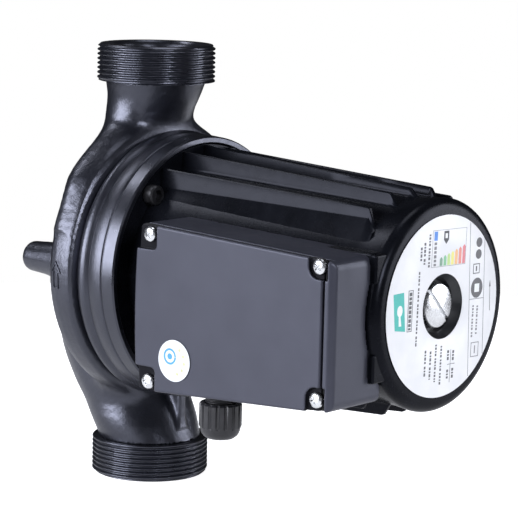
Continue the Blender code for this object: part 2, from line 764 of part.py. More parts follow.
def cover_gasket():
    outline = box_outline(0.3, BOX_START_X, COVER_END_X + 0.6, 2.5)
    gasket = plate("cover_gasket", outline, -72.0, -70.8, RUBBER)
    window = plate("gasket_window", box_outline(2.6, BOX_START_X, COVER_END_X, 2), -80, -60)
    for i, (x, z, _) in enumerate(screw_places()):
        cut(window, rod(f"gasket_eyelet_{i}", 50, 90, 4.2, axis="-Y", centre=(x, 0, z), facets=SMALL))
    cut(gasket, window)
    for i, (x, z, _) in enumerate(screw_places()):
        cut(gasket, rod(f"gasket_hole_{i}", 60, 90, 1.95, axis="-Y", centre=(x, 0, z), facets=SMALL))
    return gasket


def cover_screw(number, x, z):
    """M4 pan-head screw, pointing into the box along +Y."""
    under_head = -COVER_BACK_Y + POCKET_FLOOR + GAP
    return turned(
        f"cover_screw_{number}",
        [(60, 0), (60, 1.6), (under_head, 1.6), (under_head, 3.7), (under_head + 1.2, 3.7),
         (under_head + 2.1, 2.6), (under_head + 2.4, 0)],
        BRIGHT, axis="-Y", centre=(x, 0, z), facets=COARSE,
    )


def box_contents():
    block_plastic = block("terminal_block", (92, -67, 4), (132, -56.4, 20), BLOCK_PLASTIC)
    for i in range(4):
        x = 97 + 10 * i
        screw_hole = rod(f"block_screw_hole_{i}", 59, 80, 2.6, axis="-Y", centre=(x, 0, 14), facets=SMALL)
        lead_hole = rod(f"block_lead_hole_{i}", -10, 10, 1.9, axis="-Z", centre=(x, -60.5, 0), facets=SMALL)
        cut(block_plastic, screw_hole, lead_hole)
        screw = rod(f"terminal_screw_{i + 1}", 62.8, 66.4, 2.2, BRASS, axis="-Y", centre=(x, 0, 14),
                    facets=SMALL)
        cut(screw, block(f"terminal_slot_{i}", (x - 3, -80, 13.6), (x + 3, -65.6, 14.4)))
    block("capacitor", (104, -68.6, -32), (150, -56.4, -8), CAPACITOR_CASE)
    clip_outline = [(-6.4, -56.4), (-6.4, -70), (-33.6, -70), (-33.6, -56.4), (-32.5, -56.4),
                    (-32.5, -69), (-7.5, -69), (-7.5, -56.4)]
    plate("capacitor_clip", [(y, z) for z, y in clip_outline], 122, 132, STAINLESS, axis="X")
    earth = turned(
        "earth_screw",
        [(56.4, 0), (56.4, 4.2), (58.8, 4.2), (59.6, 3.4), (59.6, 0)],
        BRASS, axis="-Y", centre=(92, 0, -24), facets=SMALL,
    )
    cut(earth, block("earth_slot", (87, -80, -24.5), (97, -58.6, -23.5)))
    for i, (x, z) in enumerate(box_screw_places()):
        turned(
            f"box_screw_{i + 1}",
            [(45, 0), (45, 1.4), (56.3, 1.4), (56.3, 3.3), (57.6, 3.3), (58.4, 2.2), (58.4, 0)],
            BRIGHT, axis="-Y", centre=(x, 0, z), facets=SMALL,
        )


def leads():
    """Three winding leads from the stator, through the grommet, to the terminal block."""
    turned(
        "lead_grommet",
        [(52.4, 3.6), (52.4, 4.9), (56.3, 4.9), (56.3, 6.4), (57.6, 6.4), (57.6, 3.6)],
        RUBBER, axis="-Y", centre=(LEAD_X, 0, LEAD_Z), facets=SMALL,
    )
    for i in range(3):
        turn = math.radians(90 - 120 * i)
        x, z = LEAD_X + 1.8 * math.cos(turn), LEAD_Z + 1.8 * math.sin(turn)
        end_x, lane_z = 97 + 10 * i, 0.2 - 3.1 * i
        wire(
            f"motor_lead_{i + 1}",
            [(x, -44.6, z), (x, -52, z), (x, -57.4, z), (x + 2.4, -60.5, (z + lane_z) / 2),
             (x + 5, -60.5, lane_z), (end_x - 3, -60.5, lane_z), (end_x, -60.5, lane_z + 3),
             (end_x, -60.5, 9)],
            1.3, LEAD_JACKET,
        )


def cover_sticker():
    middle = (85.0, -30.0)
    outline = [
        (middle[0] + 10.0 * math.cos(math.tau * i / 24), middle[1] + 10.0 * math.sin(math.tau * i / 24))
        for i in range(24)
    ]
    return plate("cover_sticker", outline, COVER_FACE_Y - 0.6, COVER_FACE_Y - GAP, STICKER_WHITE)


# -------------------------------------------------------------- cable gland


def gland_wall_z():
    """Level of the flat seat cut in the sloping lower wall of the box."""
    return box_edge(GLAND_X, -1) + 0.8


def gland():
    seat = -gland_wall_z()
    middle = (GLAND_X, GLAND_Y, 0)
    bore = GLAND_BORE_R
    turned(
        "gland_body",
        [(seat - 8, bore), (seat - 8, GLAND_THREAD_R), (seat + GAP, GLAND_THREAD_R),
         (seat + GAP, 9.4), (seat + 2.6, 9.4), (seat + 2.6, 7.4), (seat + 15.5, 7.4), (seat + 15.5, bore)],
        GLAND_PLASTIC, axis="-Z", centre=middle, facets=COARSE,
    )
    locknut = rod("gland_locknut", seat - 6.9, seat - BOX_WALL - 0.5, 10.4, GLAND_PLASTIC,
                  axis="-Z", centre=middle, facets=8)
    cut(locknut, rod("locknut_thread", 0, 60, GLAND_THREAD_R + GAP, axis="-Z", centre=middle))
    tube("gland_seal", seat + 3, seat + 16.5, 3.2, bore - GAP, RUBBER, axis="-Z", centre=middle)
    tube("gland_slip_ring", seat + 16.9, seat + 17.9, 3.6, 7.0, BLOCK_PLASTIC, axis="-Z", centre=middle)
    turned(
        "gland_nut",
        [(seat + 5.4, 7.8), (seat + 5.4, 9.4), (seat + 6.2, GLAND_NUT_R), (seat + 17, GLAND_NUT_R),
         (seat + 20.6, 9.2), (seat + 22.8, 6.6), (seat + 22.8, 3.8), (seat + 18.3, 3.8),
         (seat + 18.3, 7.8)],
        GLAND_PLASTIC, axis="-Z", centre=middle, facets=COARSE,
    )


# ---------------------------------------------------------------- the object


pump_housing()
neck_ring()
impeller()
shaft()
rotor_pieces()
bearing_plate()
fixed_rotor_side()
rotor_can()
stator()
motor_housing()
for index, (bolt_y, bolt_z) in enumerate(bolt_places()):
    flange_bolt(index + 1, bolt_y, bolt_z)
rating_plate()
vent_plug()
terminal_box()
terminal_cover()
cover_gasket()
for index, (screw_x, screw_z, _) in enumerate(screw_places()):
    cover_screw(index + 1, screw_x, screw_z)
box_contents()
leads()
cover_sticker()
gland()
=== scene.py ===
"""Looks of the circulator pump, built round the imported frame.

Lengths are millimetres in the CAD's frame and MM turns them into metres, but the stage, lights
and camera at the end are in metres. +Z is the flow, +X the motor axis towards the rating plate,
and the box faces -Y.
"""

import itertools
import json
import math

import bmesh
import bpy
import numpy as np
from mathutils import Matrix, Vector


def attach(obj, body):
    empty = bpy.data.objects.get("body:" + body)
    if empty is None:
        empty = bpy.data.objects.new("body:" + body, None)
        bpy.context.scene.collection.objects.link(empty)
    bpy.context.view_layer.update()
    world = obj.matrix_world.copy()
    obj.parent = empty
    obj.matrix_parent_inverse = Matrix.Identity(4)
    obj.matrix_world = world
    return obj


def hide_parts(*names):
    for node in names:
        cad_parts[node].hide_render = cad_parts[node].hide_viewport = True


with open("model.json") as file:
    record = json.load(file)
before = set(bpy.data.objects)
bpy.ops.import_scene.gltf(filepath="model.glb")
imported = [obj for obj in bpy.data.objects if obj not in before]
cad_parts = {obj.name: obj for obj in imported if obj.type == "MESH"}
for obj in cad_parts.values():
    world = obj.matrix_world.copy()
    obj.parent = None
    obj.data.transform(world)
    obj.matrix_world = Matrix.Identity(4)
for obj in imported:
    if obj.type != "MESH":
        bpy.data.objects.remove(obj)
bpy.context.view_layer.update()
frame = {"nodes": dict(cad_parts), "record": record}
MM = 0.001
NODES = frame["nodes"]
CREASE = 28  # degrees; edges sharper than this stay crisp


# ---- materials


FINISHES = {}  # the material for each slot of the record


class Nodes:
    """A small helper that adds and links shader nodes of one material."""

    def __init__(self, name):
        self.material = FINISHES[name] = bpy.data.materials.new(name)
        self.material.use_nodes = True
        self.tree = self.material.node_tree
        self.shader = self.tree.nodes["Principled BSDF"]
        self.place = self.add("ShaderNodeTexCoord").outputs["Object"]

    def add(self, kind, **sockets):
        """A new node. Socket names have _ for a space."""
        node = self.tree.nodes.new(kind)
        for name, value in sockets.items():
            node.inputs[name.replace("_", " ")].default_value = value
        return node

    def link(self, source, target):
        self.tree.links.new(source, target)

    def drive(self, name, source):
        """Links a node's output to one of the shader's sockets."""
        self.link(source, self.shader.inputs[name])

    def fix(self, name, value):
        """Sets one of the shader's sockets to a value that is the same all over."""
        self.shader.inputs[name].default_value = value

    def noise(self, size, detail, roughness=0.55, stretch=None):
        """Noise whose blobs are about size mm across."""
        node = self.add("ShaderNodeTexNoise", Scale=1.0 / (size * MM), Detail=detail, Roughness=roughness)
        source = self.place
        if stretch:
            mapping = self.add("ShaderNodeMapping", Scale=stretch)
            self.link(source, mapping.inputs["Vector"])
            source = mapping.outputs["Vector"]
        self.link(source, node.inputs["Vector"])
        return node.outputs["Fac"]

    def spread(self, source, low, high, start=0.3, end=0.7):
        """Maps a factor to a range of numbers."""
        node = self.add("ShaderNodeMapRange", From_Min=start, From_Max=end, To_Min=low, To_Max=high)
        self.link(source, node.inputs["Value"])
        return node.outputs["Result"]

    def blend(self, factor, first, second):
        """Mixes two colours by a factor."""
        node = self.add("ShaderNodeMix")
        node.data_type = "RGBA"
        self.link(factor, node.inputs["Factor"])
        # Sockets 6, 7 and output 2 are the node's colour ones.
        node.inputs[6].default_value = (*first, 1.0)
        node.inputs[7].default_value = (*second, 1.0)
        return node.outputs[2]

    def bump(self, height, depth, before=None):
        """A bump whose relief is depth mm."""
        node = self.add("ShaderNodeBump", Distance=depth * MM, Strength=1.0)
        self.link(height, node.inputs["Height"])
        if before:
            self.link(before, node.inputs["Normal"])
        return node.outputs["Normal"]


def coat(name, dark, light, rough_low, rough_high, grain, metallic=0.0, patch=14.0, specular=0.5,
         tint=(1.0, 1.0, 1.0)):
    """A painted, moulded or machined surface. grain lists (size mm, depth mm) bump layers."""
    made = Nodes(name)
    tone = made.spread(made.noise(patch, 4.0), 0.0, 1.0, 0.35, 0.65)
    made.drive("Base Color", made.blend(tone, dark, light))
    wear = made.noise(patch * 0.35, 5.0, 0.65)
    made.drive("Roughness", made.spread(wear, rough_low, rough_high))
    made.fix("Metallic", metallic)
    made.fix("Specular IOR Level", specular)
    made.fix("Specular Tint", (*tint, 1.0))
    normal = None
    for size, depth in grain:
        normal = made.bump(made.noise(size, 2.0), depth, normal)
    made.drive("Normal", normal)
    return made.material


def brushed(name, dark, light, rough, stretch, depth=0.01):
    """Turned or brushed metal, with fine lines across the stretched axis."""
    made = Nodes(name)
    lines = made.noise(0.5, 3.0, 0.6, stretch)
    made.drive("Base Color", made.blend(made.spread(lines, 0, 1), dark, light))
    made.drive("Roughness", made.spread(lines, rough - 0.06, rough + 0.08))
    made.fix("Metallic", 1.0)
    made.drive("Normal", made.bump(lines, depth))
    return made.material


BLUISH = (0.80, 0.83, 1.0)  # the tint of the black paints' highlights
CASTING = coat("casting_paint", (0.0035, 0.0038, 0.0055), (0.0065, 0.007, 0.010), 0.30, 0.38,
               [(1.6, 0.05), (0.8, 0.05), (0.4, 0.02)], specular=1.0, tint=BLUISH)
MACHINED = coat("machined_paint", (0.0035, 0.0038, 0.005), (0.006, 0.0065, 0.009), 0.26, 0.34,
                [(2.2, 0.02), (0.4, 0.008)], specular=1.0, tint=BLUISH)
MOTOR = coat("motor_paint", (0.0025, 0.0028, 0.004), (0.0045, 0.005, 0.007), 0.24, 0.29,
             [(1.1, 0.006)], specular=0.10, tint=BLUISH)
BOX = coat("box_paint", (0.024, 0.025, 0.034), (0.031, 0.032, 0.043), 0.36, 0.46,
           [(0.9, 0.018), (0.35, 0.01)], patch=40.0, tint=BLUISH)
CHROME = coat("bright_chrome", (0.70, 0.71, 0.72), (0.82, 0.83, 0.84), 0.2, 0.32,
              [(1.4, 0.012)], metallic=1.0, patch=3.0)
brushed("stainless_steel", (0.42, 0.42, 0.43), (0.62, 0.62, 0.63), 0.28, (12, 1, 1))
DARK_STEEL = coat("blackened_steel", (0.02, 0.02, 0.022), (0.045, 0.045, 0.05), 0.3, 0.45,
                  [(0.7, 0.02)], metallic=0.7, patch=4.0)
brushed("lamination_steel", (0.16, 0.16, 0.17), (0.4, 0.4, 0.42), 0.42, (9, 0.2, 0.2), 0.05)
brushed("winding_wire", (0.30, 0.09, 0.03), (0.62, 0.25, 0.10), 0.3, (3, 0.6, 0.6), 0.25)
brushed("brass", (0.52, 0.36, 0.13), (0.78, 0.6, 0.28), 0.26, (6, 1, 1))
coat("seal_rubber", (0.010, 0.010, 0.011), (0.020, 0.020, 0.021), 0.55, 0.75,
     [(0.8, 0.03)], patch=5.0, specular=0.4)
coat("carbon_bearing", (0.03, 0.03, 0.033), (0.055, 0.055, 0.06), 0.25, 0.4, [(0.6, 0.01)], patch=3.0)
coat("impeller_plastic", (0.30, 0.27, 0.22), (0.42, 0.39, 0.33), 0.4, 0.55, [(1.2, 0.03)], patch=9.0)
GLAND = coat("gland_plastic", (0.010, 0.010, 0.012), (0.018, 0.018, 0.021), 0.28, 0.42,
             [(0.7, 0.02)], patch=6.0)
coat("block_plastic", (0.5, 0.5, 0.46), (0.62, 0.62, 0.58), 0.4, 0.55, [(0.8, 0.02)], patch=6.0)
coat("capacitor_case", (0.34, 0.35, 0.35), (0.42, 0.43, 0.43), 0.4, 0.55, [(0.9, 0.02)], patch=8.0)
PLATE = coat("plate_white", (0.74, 0.75, 0.76), (0.80, 0.805, 0.81), 0.3, 0.4, [(0.9, 0.006)], patch=12.0)
STICKER = coat("sticker_white", (0.58, 0.61, 0.63), (0.68, 0.71, 0.73), 0.3, 0.42, [(1.5, 0.012)], patch=5.0)
coat("lead_jacket", (0.04, 0.04, 0.045), (0.09, 0.09, 0.10), 0.4, 0.55, [(0.7, 0.02)], patch=5.0)
# Painted shade: a darker copy of the box paint for the screw pockets' floors and walls, standing for the
# shade in them.
POCKET_PAINTED_SHADE = coat("box_paint_painted_shade", (0.006, 0.006, 0.008), (0.010, 0.010, 0.013), 0.3, 0.4,
                 [(0.9, 0.018)], patch=20.0, specular=0.06)
RECESS = coat("recess_black", (0.010, 0.011, 0.013), (0.018, 0.019, 0.022), 0.3, 0.38,
              [(0.8, 0.003)], patch=6.0)


def ink(name, colour):
    """Printed ink: a little uneven, with the plate's own fine grain."""
    dark = tuple(c * 0.93 for c in colour)
    return coat(name, dark, colour, 0.35, 0.45, [(0.9, 0.004)], patch=2.5)


# ---- mesh makers


def soft_min(a, b, k):
    """The smaller of two fields, with a fillet about k wide where they meet."""
    h = np.clip(0.5 + 0.5 * (b - a) / k, 0, 1)
    return b + (a - b) * h - k * h * (1 - h)


def soft_max(a, b, k):
    """The larger of two fields, with an edge rounded about k wide where they meet."""
    return -soft_min(-a, -b, k)


def distance(a, b, middle):
    return np.sqrt((a - middle[0]) ** 2 + (b - middle[1]) ** 2)


def polygon_field(px, py, corners):
    """Signed distance to a closed outline, negative inside."""
    nearest = None
    flips = None
    count = len(corners)
    for i in range(count):
        ax, ay = corners[i]
        bx, by = corners[(i + 1) % count]
        ex, ey = bx - ax, by - ay
        wx, wy = px - ax, py - ay
        along = np.clip((wx * ex + wy * ey) / (ex * ex + ey * ey), 0, 1)
        gap = (wx - ex * along) ** 2 + (wy - ey * along) ** 2
        nearest = gap if nearest is None else np.minimum(nearest, gap)
        if ey != 0:
            above = ((ay <= py) & (by > py)) | ((by <= py) & (ay > py))
            crossed = above & (px < ax + (py - ay) * ex / ey)
            flips = crossed if flips is None else flips ^ crossed
    return np.where(flips, -1, 1) * np.sqrt(nearest)


def curve_through(places, values, at):
    """Smooth interpolation through a few measured values."""
    places = np.asarray(places, float)
    values = np.asarray(values, float)
    slope = np.gradient(values, places)
    at = np.clip(at, places[0], places[-1])
    i = np.clip(np.searchsorted(places, at, side="right") - 1, 0, len(places) - 2)
    width = places[i + 1] - places[i]
    t = (at - places[i]) / width
    a, b = values[i], values[i + 1]
    return (a * (2 * t**3 - 3 * t**2 + 1) + b * (3 * t**2 - 2 * t**3)
            + width * (slope[i] * (t**3 - 2 * t**2 + t) + slope[i + 1] * (t**3 - t**2)))


def loft_field(x, y, z, sections):
    """A solid through level elliptical sections (z, middle x, half x, half y)."""
    rows = np.array(sections, float)
    middle, half_x, half_y = (curve_through(rows[:, 0], rows[:, i], z) for i in (1, 2, 3))
    ring = np.sqrt(((x - middle) / half_x) ** 2 + (y / half_y) ** 2)
    wall = (ring - 1) * np.minimum(half_x, half_y)
    return np.maximum(wall, np.maximum(z - rows[-1, 0], rows[0, 0] - z))


def cone_field(x, y, z, centre, start, end, tip_round):
    """A tapered round boss along -X: start and end are (x, radius)."""
    away = distance(y, z, centre)
    share = np.clip((x - start[0]) / (end[0] - start[0]), 0, 1)
    wall = away - (start[1] + (end[1] - start[1]) * share)
    return np.maximum(soft_max(wall, end[0] - x, tip_round), x - start[0])


WAVE_SOURCE = np.random.default_rng(7)


def cast_waves(sizes, depth):
    """A fixed sum of waves that stands for the uneven skin of a casting."""
    waves = []
    for size in sizes:
        direction = WAVE_SOURCE.normal(size=3)
        direction *= math.tau / size / np.linalg.norm(direction)
        waves.append((direction, WAVE_SOURCE.uniform(0, math.tau)))
    return waves, depth / math.sqrt(len(sizes))


def wave_height(points, waves, depth):
    """How far the casting's uneven skin stands out at each point."""
    total = np.zeros(len(points))
    for direction, phase in waves:
        total += np.sin(points @ direction + phase)
    return total * depth


def put_in_scene(name, data):
    obj = bpy.data.objects.new(name, data)
    bpy.context.scene.collection.objects.link(obj)
    return obj


def mesh_from(name, points, faces, material):
    """A smooth-shaded mesh object from points in mm. faces is an array of quads or a list of loops."""
    mesh = bpy.data.meshes.new(name)
    if isinstance(faces, np.ndarray):
        mesh.vertices.add(len(points))
        mesh.vertices.foreach_set("co", (points * MM).astype(np.float32).ravel())
        mesh.loops.add(faces.size)
        mesh.loops.foreach_set("vertex_index", faces.astype(np.int32).ravel())
        mesh.polygons.add(len(faces))
        starts = np.arange(len(faces), dtype=np.int32) * faces.shape[1]
        mesh.polygons.foreach_set("loop_start", starts)
        mesh.update(calc_edges=True)
        mesh.validate()
    else:
        mesh.from_pydata([Vector(p) * MM for p in points], [], faces)
    mesh.polygons.foreach_set("use_smooth", [True] * len(mesh.polygons))
    mesh.materials.append(material)
    return put_in_scene(name, mesh)


def carved(name, low, high, step, field, material, waves=None, blur=0.12):
    """The closed surface where a field is zero: a surface net on a grid, moved onto the true surface.

    blur is half the distance over which slopes, and so the normals, are taken.
    """
    axes = [np.arange(low[i] - 1.51 * step, high[i] + 1.5 * step, step) for i in range(3)]
    grid = np.meshgrid(*axes, indexing="ij", sparse=True)
    values = field(*grid).astype(np.float32)
    inside = values < 0
    sizes = values.shape
    count = np.zeros([s - 1 for s in sizes], np.int8)
    corners = list(itertools.product((0, 1), repeat=3))
    for corner in corners:
        window = tuple(slice(c, s - 1 + c) for c, s in zip(corner, sizes))
        count += inside[window]
    active = (count > 0) & (count < 8)
    cells = np.argwhere(active)
    index = np.full(active.shape, -1, np.int64)
    index[active] = np.arange(len(cells))
    total = np.zeros((len(cells), 3))
    hits = np.zeros(len(cells))
    at_corner = {c: values[tuple((cells + c).T)] for c in corners}
    for first in corners:
        for axis in range(3):
            if first[axis]:
                continue
            second = tuple(c + (i == axis) for i, c in enumerate(first))
            a, b = at_corner[first], at_corner[second]
            crossed = (a < 0) != (b < 0)
            share = np.where(crossed, a / np.where(crossed, a - b, 1), 0)
            place = np.array(first, float)[None, :].repeat(len(cells), 0)
            place[:, axis] += share
            total += place * crossed[:, None]
            hits += crossed
    start = np.array([a[0] for a in axes])
    points = start + step * (cells + total / hits[:, None])

    def full(p):
        height = field(p[:, 0], p[:, 1], p[:, 2])
        return height - wave_height(p, *waves) if waves else height

    def slope(p):
        shifts = np.eye(3) * blur
        return np.stack([(full(p + shift) - full(p - shift)) / (2 * blur) for shift in shifts], 1)

    for _ in range(2):
        steepness = slope(points)
        squared = np.maximum((steepness**2).sum(1), 0.2)
        move = -(full(points) / squared)[:, None] * steepness
        reach = np.linalg.norm(move, axis=1, keepdims=True)
        points += move * np.minimum(1, 0.6 * step / np.maximum(reach, 1e-6))
    faces = []
    for axis in range(3):
        others = [i for i in range(3) if i != axis]
        here = [slice(1, s - 1) for s in sizes]
        there = list(here)
        here[axis] = slice(0, sizes[axis] - 1)
        there[axis] = slice(1, sizes[axis])
        a, b = inside[tuple(here)], inside[tuple(there)]
        edge = np.argwhere(a != b)
        turned_out = a[tuple(edge.T)]
        edge = edge + [0 if i == axis else 1 for i in range(3)]
        ring = []
        for du, dv in ((1, 1), (0, 1), (0, 0), (1, 0)):
            cell = edge.copy()
            cell[:, others[0]] -= du
            cell[:, others[1]] -= dv
            ring.append(index[tuple(cell.T)])
        quads = np.stack(ring, 1)
        flip = turned_out if axis == 1 else ~turned_out
        quads[flip] = quads[flip][:, ::-1]
        faces.append(quads)
    obj = mesh_from(name, points, np.concatenate(faces), material)
    normals = slope(points)
    normals /= np.maximum(np.linalg.norm(normals, axis=1, keepdims=True), 1e-6)
    obj.data.normals_split_custom_set_from_vertices(normals.astype(np.float32).tolist())
    return obj


def lathe(name, outline, material, facets, sharp, axis="X", centre=(0, 0, 0)):
    """A turned piece. The outline lists (distance along the axis, radius), and closes unless it
    starts and ends on the axis."""
    points = []
    rows = []
    for along, radius in outline:
        if radius <= 0:
            rows.append([len(points)])
            points.append((along, 0, 0))
            continue
        rows.append(list(range(len(points), len(points) + facets)))
        for i in range(facets):
            turn = math.tau * i / facets
            points.append((along, radius * math.cos(turn), radius * math.sin(turn)))
    faces = []
    pairs = list(zip(rows, rows[1:]))
    if outline[0][1] > 0 or outline[-1][1] > 0:
        pairs.append((rows[-1], rows[0]))
    for first, second in pairs:
        for i in range(facets):
            j = (i + 1) % facets
            loop = [first[i % len(first)], first[j % len(first)],
                    second[j % len(second)], second[i % len(second)]]
            loop = list(dict.fromkeys(loop))
            if len(loop) > 2:
                faces.append(loop)
    obj = mesh_from(name, turn_points(points, axis, centre), faces, material)
    tidy(obj, sharp)
    return obj


def turn_points(points, axis, centre):
    """Turns points made along X to another axis, then moves them to a centre."""
    turns = {"X": lambda p: p, "-Z": lambda p: (p[2], -p[1], -p[0]), "-Y": lambda p: (p[1], -p[0], p[2])}
    return [tuple(a + b for a, b in zip(turns[axis](p), centre)) for p in points]


def grid_piece(name, points, rows, facets, material, sharp):
    """A closed piece from rows of points round an axis. The last row joins the first."""
    corner = np.arange(rows * facets).reshape(rows, facets)
    following = np.roll(corner, -1, axis=0)
    quads = np.stack([corner, np.roll(corner, -1, 1), np.roll(following, -1, 1), following], -1)
    obj = mesh_from(name, np.array(points), quads.reshape(-1, 4), material)
    tidy(obj, sharp)
    return obj


def prism_faces(count):
    """Two end faces of count points, the low one first, and the sides between them."""
    faces = [list(range(count)), list(range(count, 2 * count))]
    return faces + [[i, (i + 1) % count, count + (i + 1) % count, count + i] for i in range(count)]


def tidy(obj, sharp=CREASE):
    """Merges, orients and shades a mesh: edges sharper than the angle stay crisp."""
    shape = bmesh.new()
    shape.from_mesh(obj.data)
    bmesh.ops.remove_doubles(shape, verts=shape.verts, dist=1e-7)
    bmesh.ops.recalc_face_normals(shape, faces=shape.faces)
    shape.to_mesh(obj.data)
    shape.free()
    obj.data.set_sharp_from_angle(angle=math.radians(sharp))


def slab(name, outline, low, high, material, axis="Y", bevel=0.0):
    """A flat outline with thickness. It lists (x, z) for axis Y and (y, z) for axis X."""
    def put(point, along):
        return (point[0], along, point[1]) if axis == "Y" else (along, *point)

    points = [put(p, low) for p in outline] + [put(p, high) for p in outline]
    obj = mesh_from(name, points, prism_faces(len(outline)), material)
    tidy(obj)
    if bevel:
        add_bevel(obj, bevel)
    return obj


def brick(name, low, high, material, bevel):
    """A bevelled block between two corners."""
    outline = [(low[0], low[2]), (high[0], low[2]), (high[0], high[2]), (low[0], high[2])]
    return slab(name, outline, low[1], high[1], material, "Y", bevel)


def add_bevel(obj, width):
    bevel = obj.modifiers.new("bevel", "BEVEL")
    bevel.width = width * MM
    bevel.segments = 2
    bevel.limit_method = "ANGLE"
    bevel.angle_limit = math.radians(30)
    bevel.harden_normals = True


def subtract(obj, *tools):
    """Cuts tools out of a piece, applies it and removes the tools."""
    for tool in tools:
        modifier = obj.modifiers.new("cut", "BOOLEAN")
        modifier.object = tool
        modifier.operation = "DIFFERENCE"
        modifier.solver = "EXACT"
    graph = bpy.context.evaluated_depsgraph_get()
    mesh = bpy.data.meshes.new_from_object(obj.evaluated_get(graph))
    obj.modifiers.clear()
    obj.data = mesh
    for tool in tools:
        bpy.data.objects.remove(tool, do_unlink=True)
    mesh.set_sharp_from_angle(angle=math.radians(CREASE))


def arc(middle, radius, start, end, steps=8):
    """Points on an arc between two angles in degrees."""
    turns = [math.radians(start + (end - start) * i / steps) for i in range(steps + 1)]
    return [(middle[0] + radius * math.cos(t), middle[1] + radius * math.sin(t)) for t in turns]


def fit(obj, slot, *nodes, body="pump_body"):
    """Puts a piece on its body and hides the CAD nodes it stands for. slot, the finish's name, is not used.
    """
    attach(obj, body)
    if nodes:
        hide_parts(*nodes)
    return obj


# ---- pump casting

THREAD_R = 29.8
THREAD_ROOT_R = 28.5
THREAD_FOOT = 91.5
PORT_FACE = 110.0
THREAD_LENGTH = PORT_FACE - THREAD_FOOT
PITCH = 2.309
EYE_R = 19.4
CASTING_STEP = 0.95  # the grid that the casting is carved on
CASTING_BLUR = 0.5
CASTING_WAVES = [13, 11, 9, 7, 6, 5, 4.4, 3.8, 3.4, 3.0]
CASTING_WAVE_DEPTH = 0.03

# VOLUTE, RING and CHAMBER list (x, radius). The necks and bores list (z, middle x, half x, half y).

VOLUTE = [(-14, 0), (-14, 42), (-12.4, 54), (-10.0, 61.8), (-7.3, 66.4), (-4.2, 68.8), (-1, 69.3),
          (3, 69.3), (6, 69.1), (7.5, 68.6), (8.5, 67.4), (9.0, 65.6), (9.2, 62.6), (27.8, 62.6),
          (27.8, 0)]
RING = [(8.6, 60), (8.9, 64.0), (9.6, 64.3), (10.4, 65.0), (11.5, 66.1), (12.8, 66.95), (14.2, 67.3),
        (15.6, 67.1), (16.8, 66.5), (17.6, 65.8), (18.1, 65.35), (18.5, 65.4), (18.8, 65.9),
        (19.2, 66.1), (25.9, 66.0), (26.4, 65.8), (26.7, 65.4), (27.1, 65.4), (27.1, 60)]
CHAMBER = [(-4, 0), (-4, 50.5), (-2, 56), (8, 56), (11, 50.5), (25.2, 50.5), (25.2, 53.4),
           (27.0, 53.4), (27.0, 62.6), (40, 62.6), (40, 0)]
OUTLET_NECK = [(28, -2, 3, 22), (37, -2, 7, 38), (46, -2, 10, 46.5), (55, -3, 13, 40),
               (62, -4, 15, 32.5), (70, -5.6, 17.5, 25.5), (76, -3.8, 20, 24.5), (83, -1.6, 22.8, 23.8),
               (THREAD_FOOT + 0.6, 0, 25.4, 25.4)]
INLET_NECK = [(-THREAD_FOOT - 0.6, 0, 26, 26), (-81, -4.9, 25.8, 28.5), (-73, -9.2, 26.5, 28.5),
              (-65, -14.3, 26.5, 29.5), (-50, -22, 26, 31), (-28, -26, 24.5, 34),
              (2, -25.5, 21.5, 33), (20, -21.5, 16, 25), (31, -17.5, 6, 9)]
OUTLET_BORE = [(45, 3, 5, 14), (56, 2.5, 5.5, 15), (62, 1.5, 6, 16), (70, -3, 9.5, 18),
               (83, -1.6, 17.5, 18.5), (91.5, 0, 20.1, 20.1), (112, 0, 20.5, 20.5)]
INLET_BORE = [(-112, 0, 20.5, 20.5), (-91.5, 0, 20.1, 20.1), (-81, -5.5, 19.5, 20),
              (-73, -10.5, 19, 20.5), (-65, -17, 17, 21.5), (-50, -25, 16, 23.5),
              (-28, -28, 15.5, 26), (2, -27.5, 13.5, 25), (20, -25, 6, 12)]
LOWER_WEB = [(-5, -60), (22.5, -60), (22.5, -84), (10, -90), (-5, -90)]


def casting_field(x, y, z):
    """The pump casting with its chamber, bores, webs, bosses and nub."""
    away = np.sqrt(y**2 + z**2)
    body = polygon_field(x, away, VOLUTE)
    body = soft_min(body, loft_field(x, y, z, OUTLET_NECK), 13)
    body = soft_min(body, loft_field(x, y, z, INLET_NECK), 9)
    web = soft_max(polygon_field(x, z, LOWER_WEB), np.abs(y) - 2.6, 1.5)
    body = soft_min(body, web, 3)
    for side in (-1, 1):
        boss = cone_field(x, y, z, (32 * side, -1.5), (-12, 10.5), (-56.3, 7.5), 3.5)
        body = soft_min(body, boss, 6)
    nub = cone_field(x, y, z, (-34, 46.3), (-5, 4.4), (-19.8, 3.8), 3)
    body = soft_min(body, nub, 4)
    hollow = np.minimum(polygon_field(x, away, CHAMBER), loft_field(x, y, z, INLET_BORE))
    hollow = np.minimum(hollow, loft_field(x, y, z, OUTLET_BORE))
    eye = np.maximum(away - EYE_R, np.maximum(x + 3, -22 - x))
    hollow = np.minimum(hollow, eye)
    return np.maximum(soft_max(body, -hollow, 1.0), np.abs(z) - THREAD_FOOT)


def make_casting():
    waves = cast_waves(CASTING_WAVES, CASTING_WAVE_DEPTH)
    casting = carved("pump_casting", (-58, -71, -93), (29, 71, 93), CASTING_STEP, casting_field,
                     CASTING, waves, CASTING_BLUR)
    ring = lathe("casing_ring", RING, CASTING, facets=240, sharp=40)
    rim = lathe("machined_rim", [
        (27.2, 62.5), (27.2, 65.6), (28.0, 66.2), (34.2, 65.8), (35.0, 65.1), (35.0, 63.0),
        (34.6, 62.5),
    ], MACHINED, facets=192, sharp=24)
    for piece in (casting, ring, rim):
        fit(piece, "casting_paint", "pump_housing")


